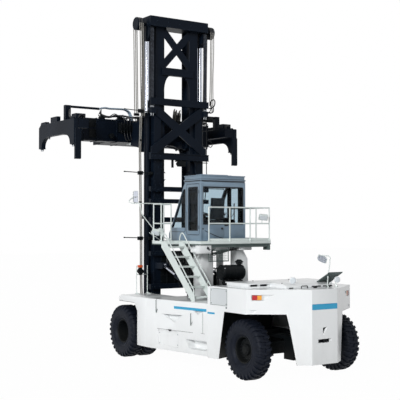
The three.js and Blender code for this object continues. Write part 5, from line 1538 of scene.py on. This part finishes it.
edge = Shape()
STAIR_CORNER = (1.70, 1.50)     # the rim is left open from here, where the stairs come up
RIM = [(-1.37, 0.60), (1.06, 0.60), (1.06, 1.03), (1.70, 1.03), STAIR_CORNER, (1.06, 1.50), (1.06, 2.55),
       (-1.37, 2.55)]
RIM_PROUD = 0.006
for (x0, y0), (x1, y1) in zip(RIM, RIM[1:] + RIM[:1]):
    if (x0, y0) == STAIR_CORNER:
        continue
    out_x, out_y = (RIM_PROUD, 0.0) if x0 == x1 else (0.0, RIM_PROUD)
    edge.block((min(x0, x1) - (out_x if x0 < 0 else 0), max(x0, x1) + (out_x if x0 > 0 else 0)),
               (min(y0, y1) - out_y, max(y0, y1) + out_y), (3.262, 3.292), 0.003)
for x in [-1.25 + 0.05 * i for i in range(45)]:
    edge.block((x - 0.004, x + 0.004), (2.16, 2.50), (3.368, 3.376), 0.001)
for x in (-1.0, -0.5, 0.0, 0.5, 0.9):
    edge.block((x - 0.03, x + 0.03), (0.66, 2.50), (3.20, 3.27), 0.004)
for y in (0.66, 1.40, 2.49):
    edge.block((-1.30, 1.0), (y - 0.03, y + 0.03), (3.19, 3.27), 0.004)
edge.block((-1.362, -1.28), (2.30, 2.54), (3.10, 3.262), 0.01)
# This piece takes the darker grey: painted shade along the platform's edge and beneath it.
make("platform_underframe", edge, "chassis", grey_and_painted_shade)


RAIL_TUBE, RAIL_JOINT, KNEE_RAIL = 0.019, 0.0192, 0.49


def railing(shape, points, posts, height):
    """A knee rail and a hand rail through the points, on posts with bolted feet."""
    for level in (PLATFORM_TOP + KNEE_RAIL, PLATFORM_TOP + height):
        for start, end in zip(points, points[1:]):
            shape.bar((*start, level), (*end, level), RAIL_TUBE, sides=16)
        for point in points[1:-1]:
            shape.ball((*point, level), RAIL_JOINT)
    for post in posts:
        shape.bar((*post, PLATFORM_TOP), (*post, PLATFORM_TOP + height), RAIL_TUBE, sides=16)
        shape.bar((*post, PLATFORM_TOP), (*post, PLATFORM_TOP + 0.012), 0.045, sides=18, edge=0.003)
        for dx, dy in ((0.03, 0), (-0.03, 0), (0, 0.03), (0, -0.03)):
            shape.bolt((post[0] + dx, post[1] + dy, PLATFORM_TOP + 0.012), (0, 0, 1), 0.008, 0.007)
    for end in (points[0], points[-1]):
        shape.ball((*end, PLATFORM_TOP + height), RAIL_JOINT)
    return shape


rails = railing(Shape(), [(0.77, 2.52), (-1.34, 2.52), (-1.34, 0.63)],
                [(0.77, 2.52), (0.06, 2.52), (-0.65, 2.52), (-1.34, 2.52), (-1.34, 1.89), (-1.34, 1.26),
                 (-1.34, 0.63)], 0.94)
for x in (0.77, 0.06, -0.65, -1.34):
    rails.block((x - 0.015, x + 0.015), (2.50, 2.556), (3.30, 3.42), 0.003)
for (x0, y0), (x1, y1) in (((0.77, 2.52), (-1.34, 2.52)), ((-1.34, 2.52), (-1.34, 0.63))):
    rails.block((min(x0, x1) - 0.003, max(x0, x1) + 0.003), (min(y0, y1) - 0.003, max(y0, y1) + 0.003),
                (3.372, 3.44), 0.002)
make("rear_rails", rails, "chassis", pale, ["rear_guard_rail"])
rails = railing(Shape(), [(1.09, 1.06), (1.67, 1.06), (1.67, 1.47)],
                [(1.09, 1.06), (1.67, 1.06), (1.67, 1.47)], 1.04)
rails.bar((1.09, 1.06, 4.41), (1.09, 0.66, 4.41), RAIL_TUBE, sides=14)
rails.bar((1.09, 0.66, 4.41), (1.09, 0.66, 3.37), RAIL_TUBE, sides=14)
rails.bar((1.09, 0.66, 3.86), (1.09, 1.06, 3.86), RAIL_TUBE, sides=14)
rails.ball((1.09, 0.66, 4.41), RAIL_JOINT)
make("front_rails", rails, "chassis", pale, ["front_guard_rail"])

stair = Shape()
for x0, x1 in ((1.10, 1.125), (1.675, 1.70)):
    stair.plate("x", [(1.53, 3.36), (1.74, 3.36), (3.19, 1.93), (3.19, 1.8003), (3.06, 1.8003),
                      (1.53, 3.20)], x0, x1, 0.004)
    for y0, z0, y1, z1 in ((1.742, 3.353, 3.185, 1.94), (1.535, 3.205, 3.06, 1.815)):
        stair.bar((x0 + 0.0125, y0, z0), (x0 + 0.0125, y1, z1), 0.014, sides=8)
for i in range(6):
    share = (i + 0.5) / 6
    y, z = 1.59 + 1.54 * share, PLATFORM_TOP - (PLATFORM_TOP - DECK_TOP) * share
    stair.block((1.12, 1.68), (y - 0.125, y + 0.125), (z - 0.04, z - 0.03), 0.002)
    for edge_y in (y - 0.125, y + 0.118):
        stair.block((1.12, 1.68), (edge_y, edge_y + 0.007), (z - 0.062, z - 0.026), 0.002)
    for x in [1.15 + 0.05 * k for k in range(11)]:
        stair.block((x - 0.003, x + 0.003), (y - 0.11, y + 0.11), (z - 0.034, z - 0.022), 0.001)
    for x in (1.098, 1.702):
        stair.bolt((x, y, z - 0.05), (1 if x > 1.5 else -1, 0, 0), 0.012, 0.008)
# Hand tubes close above both cheeks.
for x in (1.09, 1.69):
    stair.pipe(flowing([(x, 1.52, 3.37), (x, 1.53, 3.46), (x, 1.60, 3.57), (x, 1.72, 3.56), (x, 2.0, 3.27),
                        (x, 3.0, 2.26), (x, 3.14, 2.11), (x, 3.16, 2.0), (x, 3.14, 1.93)]), 0.016, 12)
    for y in (2.0, 2.5, 2.95):
        z = 3.27 - (y - 2.0) * 1.01
        stair.bar((x, y, z), (x, y - 0.07, z - 0.13), 0.011, sides=10)

make("stair_flight", stair, "chassis", pale, ["stairs"])

column = softened("cab_support", "support_columns", 0.012, "chassis", white)
# Its faces that look down under the platform take the darker grey: painted shade.
line(column, grey_and_painted_shade, lambda at, normal: at.z > 3.05 and normal.z < -0.2)

# ---- Mirror, lamps and small pieces round the platform ---------------------------------------
poles = Shape()
poles.pipe(flowing([(1.09, 0.88, 4.41), (1.30, 0.9, 4.425), (1.70, 0.9, 4.43), (2.05, 0.85, 4.43),
                    (2.24, 0.75, 4.44), (2.24, 0.66, 4.50), (2.10, 0.62, 4.60)]), 0.014, 12)
poles.bar((1.96, 0.9, 4.12), (1.60, 0.9, 3.72), 0.012, sides=12)
poles.bar((1.96, 0.9, 4.12), (2.02, 0.87, 4.43), 0.012, sides=12)
poles.bar((1.60, 0.9, 3.72), (1.12, 0.95, 3.38), 0.012, sides=12)
poles.block((1.06, 1.12), (0.86, 0.98), (3.372, 3.43), 0.006)
poles.bar((1.20, 0.70, 3.36), (1.72, 0.90, 3.60), 0.012, sides=12)
poles.bar((1.46, 0.80, 3.48), (1.46, 1.02, 3.56), 0.012, sides=10)
for x in (1.20, 1.57):
    poles.bar((x, -0.08, 1.72), (x, -0.08, 2.62), 0.012, sides=12)
    poles.block((x - 0.04, x + 0.04), (-0.10, 0.10), (1.80, 1.815), 0.004)
    poles.bar((x, 0.02, 1.80), (x, -0.08, 1.84), 0.014, sides=10)
poles.bar((1.20, -0.08, 2.36), (1.57, -0.08, 2.36), 0.011, sides=10)
poles.bar((-1.076, 2.52, 3.86), (-1.076, 2.52, 4.0), 0.011, sides=10)
make("mirror_poles", poles, "chassis", pale)

head = Shape()
head.plate("y", rounded([(1.92, 4.45), (2.08, 4.45), (2.08, 4.79), (1.92, 4.79)], 0.06), 0.585, 0.615,
           0.008)
head.bar((2.0, 0.60, 4.62), (2.0, 0.655, 4.62), 0.025, sides=16)
head.bar((2.0, 0.64, 4.62), (2.11, 0.63, 4.61), 0.012, sides=10)
make("mirror_head", head, "chassis", label)
face = Shape().plate("y", rounded([(1.935, 4.465), (2.065, 4.465), (2.065, 4.775), (1.935, 4.775)], 0.05),
                     0.616, 0.6195, 0.001)
make("mirror_face", face, "chassis", chrome)


def oblong(half_width, half_height, x=0.0, y=0.0):
    """The corners of an upright oblong round a point."""
    return [(x - half_width, y - half_height), (x + half_width, y - half_height),
            (x + half_width, y + half_height), (x - half_width, y + half_height)]


def work_lamp(shape, lens, at, aim, width, height):
    """A box lamp that looks along `aim`, with its lens as a piece apart."""
    aim = Vector(aim).normalized()
    turn = Matrix.Translation(at) @ Vector((0, 1, 0)).rotation_difference(aim).to_matrix().to_4x4()
    body = Shape().plate("y", rounded(oblong(width, height), 0.025), -0.07, 0.02, 0.01)
    body.plate("y", rounded(oblong(width * 0.6, height * 0.6), 0.02), -0.11, -0.06, 0.012)
    for x in (-width - 0.012, width + 0.012):
        body.bar((x, 0, -height), (x, 0, 0.02), 0.007, sides=8)
    shape.spread(body, [turn])
    glazing = Shape().plate("y", rounded(oblong(width * 0.86, height * 0.82), 0.018), 0.019, 0.028, 0.003)
    lens.spread(glazing, [turn])


lamps, lenses = Shape(), Shape()
work_lamp(lamps, lenses, (1.62, 1.08, 3.60), (0.5, 0.5, -0.6), 0.11, 0.075)
work_lamp(lamps, lenses, (1.44, 1.06, 3.62), (0.1, -0.7, -0.5), 0.09, 0.07)
work_lamp(lamps, lenses, (-1.076, 2.585, 4.03), (0.35, 0.8, -0.45), 0.12, 0.08)
make("work_lamps", lamps, "chassis", pale)
make("work_lamp_glasses", lenses, "chassis", clear_lens)
lamps, lenses = Shape(), Shape()
work_lamp(lamps, lenses, (1.47, -0.05, 2.45), (0.1, -0.95, -0.2), 0.085, 0.08)
make("front_lamps", lamps, "chassis", iron)
make("front_lamp_glasses", lenses, "chassis", clear_lens)
signal = Shape().block((1.36, 1.50), (-0.16, -0.06), (2.555, 2.635), 0.014)
make("front_signal", signal, "chassis", orange_lens)

# White box, cable bundle and the screen under the platform.
case = Shape()
case.block((0.70, 1.12), (2.36, 2.545), (3.03, 3.255), 0.012)
case.block((0.72, 1.10), (2.543, 2.55), (3.05, 3.235), 0.003)
case.bar((0.91, 2.55, 3.08), (0.91, 2.56, 3.08), 0.014, sides=12)
case.block((0.98, 1.20), (2.24, 2.40), (3.06, 3.18), 0.02)
make("platform_case", case, "chassis", white)
case = Shape()
for i in range(7):
    case.pipe(flowing([(0.86, 2.50 + 0.015 * i, 3.10 + 0.02 * i),
                       (0.7 - 0.02 * i, 2.48, 3.02 + dice.uniform(-0.04, 0.04)),
                       (0.3, 2.44, 3.05 + dice.uniform(-0.05, 0.05)), (-0.1 - 0.05 * i, 2.30, 3.12),
                       (-0.2 - 0.05 * i, 2.2, 3.19)]), 0.012)
make("hose_bundle", case, "chassis", black_hose)
case = Shape()
for x in [0.09 + 0.0478 * i for i in range(15)]:
    case.bar((x, 2.50, 2.82), (x, 2.50, 3.11), 0.004, sides=6)
for z in [2.83 + 0.045 * i for i in range(7)]:
    case.bar((0.09, 2.50, z), (0.76, 2.50, z), 0.004, sides=6)
for x in (0.09, 0.76):
    case.bar((x, 2.50, 2.80), (x, 2.50, 3.20), 0.011, sides=8)
for z in (2.81, 3.13):
    case.bar((0.09, 2.50, z), (0.76, 2.50, z), 0.011, sides=8)
make("platform_screen", case, "chassis", grey_and_painted_shade)

# ---- Air cleaner, valve bank and tilt rams ----------------------------------------------------
CLEANER_Y, CLEANER_Z = 2.75, 2.51
cleaner = Shape()
cleaner.turned([(-0.19, 0.02), (-0.198, 0.10), (-0.19, 0.185), (-0.165, 0.205), (0.525, 0.205),
                (0.55, 0.185), (0.558, 0.10), (0.55, 0.02)],
               0, CLEANER_Y, CLEANER_Z, 56)
for x in (-0.13, 0.10, 0.33, 0.48):
    cleaner.turned([(x, 0.2), (x + 0.03, 0.2), (x + 0.03, 0.2095), (x, 0.2095)], 0, CLEANER_Y, CLEANER_Z,
                   48)
for a in around(8):
    cleaner.bolt((0.556, CLEANER_Y + 0.15 * math.cos(a), CLEANER_Z + 0.15 * math.sin(a)), (1, 0, 0),
                 0.016, 0.004)
cleaner.bar((0.55, CLEANER_Y, CLEANER_Z), (0.5595, CLEANER_Y, CLEANER_Z), 0.05, sides=20)
cleaner.bar((-0.09, CLEANER_Y, 2.68), (-0.09, CLEANER_Y, 2.80), 0.06, sides=32)
cleaner.bar((-0.09, CLEANER_Y, 2.775), (-0.09, CLEANER_Y, 2.80), 0.12, sides=36, edge=0.006)
cleaner.bar((-0.09, CLEANER_Y, 2.80), (-0.09, CLEANER_Y, 2.86), 0.115, 0.05, sides=36)
for a in around(16):
    cleaner.bar((-0.09 + 0.085 * math.cos(a), CLEANER_Y + 0.085 * math.sin(a), 2.735),
                (-0.09 + 0.085 * math.cos(a), CLEANER_Y + 0.085 * math.sin(a), 2.78), 0.006, sides=6)
cleaner.bar((-0.09, CLEANER_Y, 2.73), (-0.09, CLEANER_Y, 2.742), 0.10, sides=32)
for x in (-0.10, 0.36):
    cleaner.block((x, x + 0.05), (CLEANER_Y - 0.10, CLEANER_Y + 0.10), (DECK_TOP + 0.0003, 2.36), 0.006)
    cleaner.block((x - 0.03, x + 0.08), (CLEANER_Y - 0.10, CLEANER_Y + 0.10),
                  (DECK_TOP + 0.0003, DECK_TOP + 0.02), 0.004)
cleaner.block((-0.16, 0.44), (CLEANER_Y - 0.09, CLEANER_Y + 0.09), (2.20, 2.30), 0.02)
cleaner.block((-0.05, 0.36), (CLEANER_Y - 0.08, CLEANER_Y + 0.08), (1.82, 2.20), 0.03)
make("air_cleaner_body", cleaner, "chassis", iron, ["air_cleaner"])
clamps = Shape()
for x in (-0.155, 0.505):
    for a in (0.6, 2.4, 4.2):
        clamps.block((x - 0.02, x + 0.02), (CLEANER_Y + 0.2 * math.cos(a) - 0.008,
                                            CLEANER_Y + 0.2 * math.cos(a) + 0.008),
                     (CLEANER_Z + 0.2 * math.sin(a) - 0.02, CLEANER_Z + 0.2 * math.sin(a) + 0.02), 0.004)
make("cleaner_clips", clamps, "chassis", plated)

bank = Shape()
bank.block((-0.36, 0.36), (0.98, 1.28), (2.02, 2.36), 0.016)
for i in range(7):
    x = -0.31 + 0.103 * i
    bank.block((x - 0.04, x + 0.04), (0.93, 1.30), (2.05, 2.33), 0.008)
    bank.bar((x, 0.95, 2.33), (x, 0.95, 2.42), 0.021, sides=6)
    bank.bar((x, 1.25, 2.33), (x, 1.25, 2.42), 0.021, sides=6)
    reach = 0.16 + 0.03 * i
    bank.pipe(flowing([(x, 0.95, 2.42), (x, 0.93, 2.42 + reach), (x * 1.1, 0.70, 2.50 + reach),
                       (x * 1.2, 0.42, 2.46 + reach * 0.7), (x * 1.2, 0.33, 2.20),
                       (x * 1.1, 0.40, 1.95)]), 0.017)
    bank.pipe(flowing([(x, 1.25, 2.42), (x, 1.27, 2.52), (x * 1.05, 1.38, 2.55), (x * 1.05, 1.42, 2.30),
                       (x, 1.41, 1.82)]), 0.017)
bank.block((-0.42, 0.42), (0.95, 1.30), (1.98, 2.03), 0.006)
for x in (-0.38, 0.38):
    bank.block((x - 0.02, x + 0.02), (1.30, 1.33), (1.80, 2.03), 0.004)
    bank.block((x - 0.02, x + 0.02), (1.0, 1.45), (1.802, 1.98), 0.006)
make("valve_bank", bank, "chassis", iron)

# Hoses from the deck to the mast, and the cover they end at.
loom = Shape()
for i in range(13):
    x = -0.50 + 0.085 * i
    sway = dice.uniform(-0.03, 0.03)
    loom.pipe(flowing([(x, 1.0, 1.84), (x, 0.92, 2.05), (x + sway, 0.72, 2.28 + sway),
                       (x + sway, 0.40, 2.34 + 0.5 * sway), (x, 0.12, 2.42), (x * 0.98, -0.06, 2.62),
                       (x * 0.96, -0.12, 2.88), (x * 0.95, -0.14, 2.96)]), 0.017)
piece = make("mast_feed_hoses", loom, None, black_hose)
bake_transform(piece)
cover = Shape()
cover.block((-0.625, 0.625), (-0.268, -0.262), (2.04, 2.91), 0.002)
for x in (-0.4, -0.13, 0.13, 0.4):
    cover.block((x - 0.02, x + 0.02), (-0.264, -0.235), (2.045, 2.905), 0.004)
for z in (2.3, 2.62):
    cover.block((-0.60, 0.60), (-0.264, -0.24), (z - 0.012, z + 0.012), 0.003)
for i in range(13):
    x = (-0.50 + 0.085 * i) * 0.95
    cover.bar((x, -0.14, 2.95), (x, -0.14, 3.03), 0.02, sides=6)
cover.block((-0.52, 0.54), (-0.152, -0.12), (2.955, 3.0), 0.004)
make("mast_cover", cover, "outer_mast", iron)

tilt_start, tilt_end = Vector((0.72, 1.75, 1.98)), Vector((0.72, 0.10, 2.60))
tilt_way = (tilt_end - tilt_start).normalized()
for side in SIDES:
    barrel = Shape()
    on = [tilt_start + tilt_way * d for d in (0.0, 0.19, 0.22, 1.0, 1.05)]
    barrel.bar(on[1], on[4], 0.078, sides=40)
    for d in (0.19, 0.56, 1.005):
        barrel.bar(tilt_start + tilt_way * d, tilt_start + tilt_way * (d + 0.045), 0.0848, sides=40,
                   edge=0.003)
    barrel.bar(on[0], on[2], 0.038, sides=24)
    barrel.bar((0.677, 1.75, 1.98), (0.763, 1.75, 1.98), 0.084, sides=36, edge=0.004)
    for d in (0.30, 0.94):
        port = tilt_start + tilt_way * d
        barrel.bar(port, port + Vector((0, 0.03, 0.084)), 0.02, sides=12)
    make(f"tilt_barrel_skin_{side}", barrel.on(side), f"tilt_barrel_{side}", navy,
         [f"tilt_barrel_{side}"])
    rod = Shape()
    rod.bar(tilt_start + tilt_way * 0.46, tilt_end - tilt_way * 0.04, 0.045, sides=40)
    rod.bar((0.677, 0.10, 2.60), (0.763, 0.10, 2.60), 0.069, sides=32, edge=0.004)
    make(f"tilt_ram_{side}", rod.on(side), f"tilt_rod_{side}", chrome, [f"tilt_rod_{side}"])
    softened(f"tilt_bracket_{side}", f"tilt_ear_{side}", 0.006, "chassis", navy)

# ---- What is left of the CAD pieces ---------------------------------------------------------
BY_SLOT = {"body_white": white, "mast_paint": navy, "black_iron": iron, "platform_grey": pale,
           "cab_paint": cab_blue,
           "clear_glass": glass, "chrome_rod": chrome, "tyre_rubber": rubber, "seat_black": vinyl}
for node in nodes.values():
    slot = node.data.materials[0].name.split(".")[0]
    node.data.materials.clear()
    node.data.materials.append(BY_SLOT[slot].material)

low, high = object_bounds()
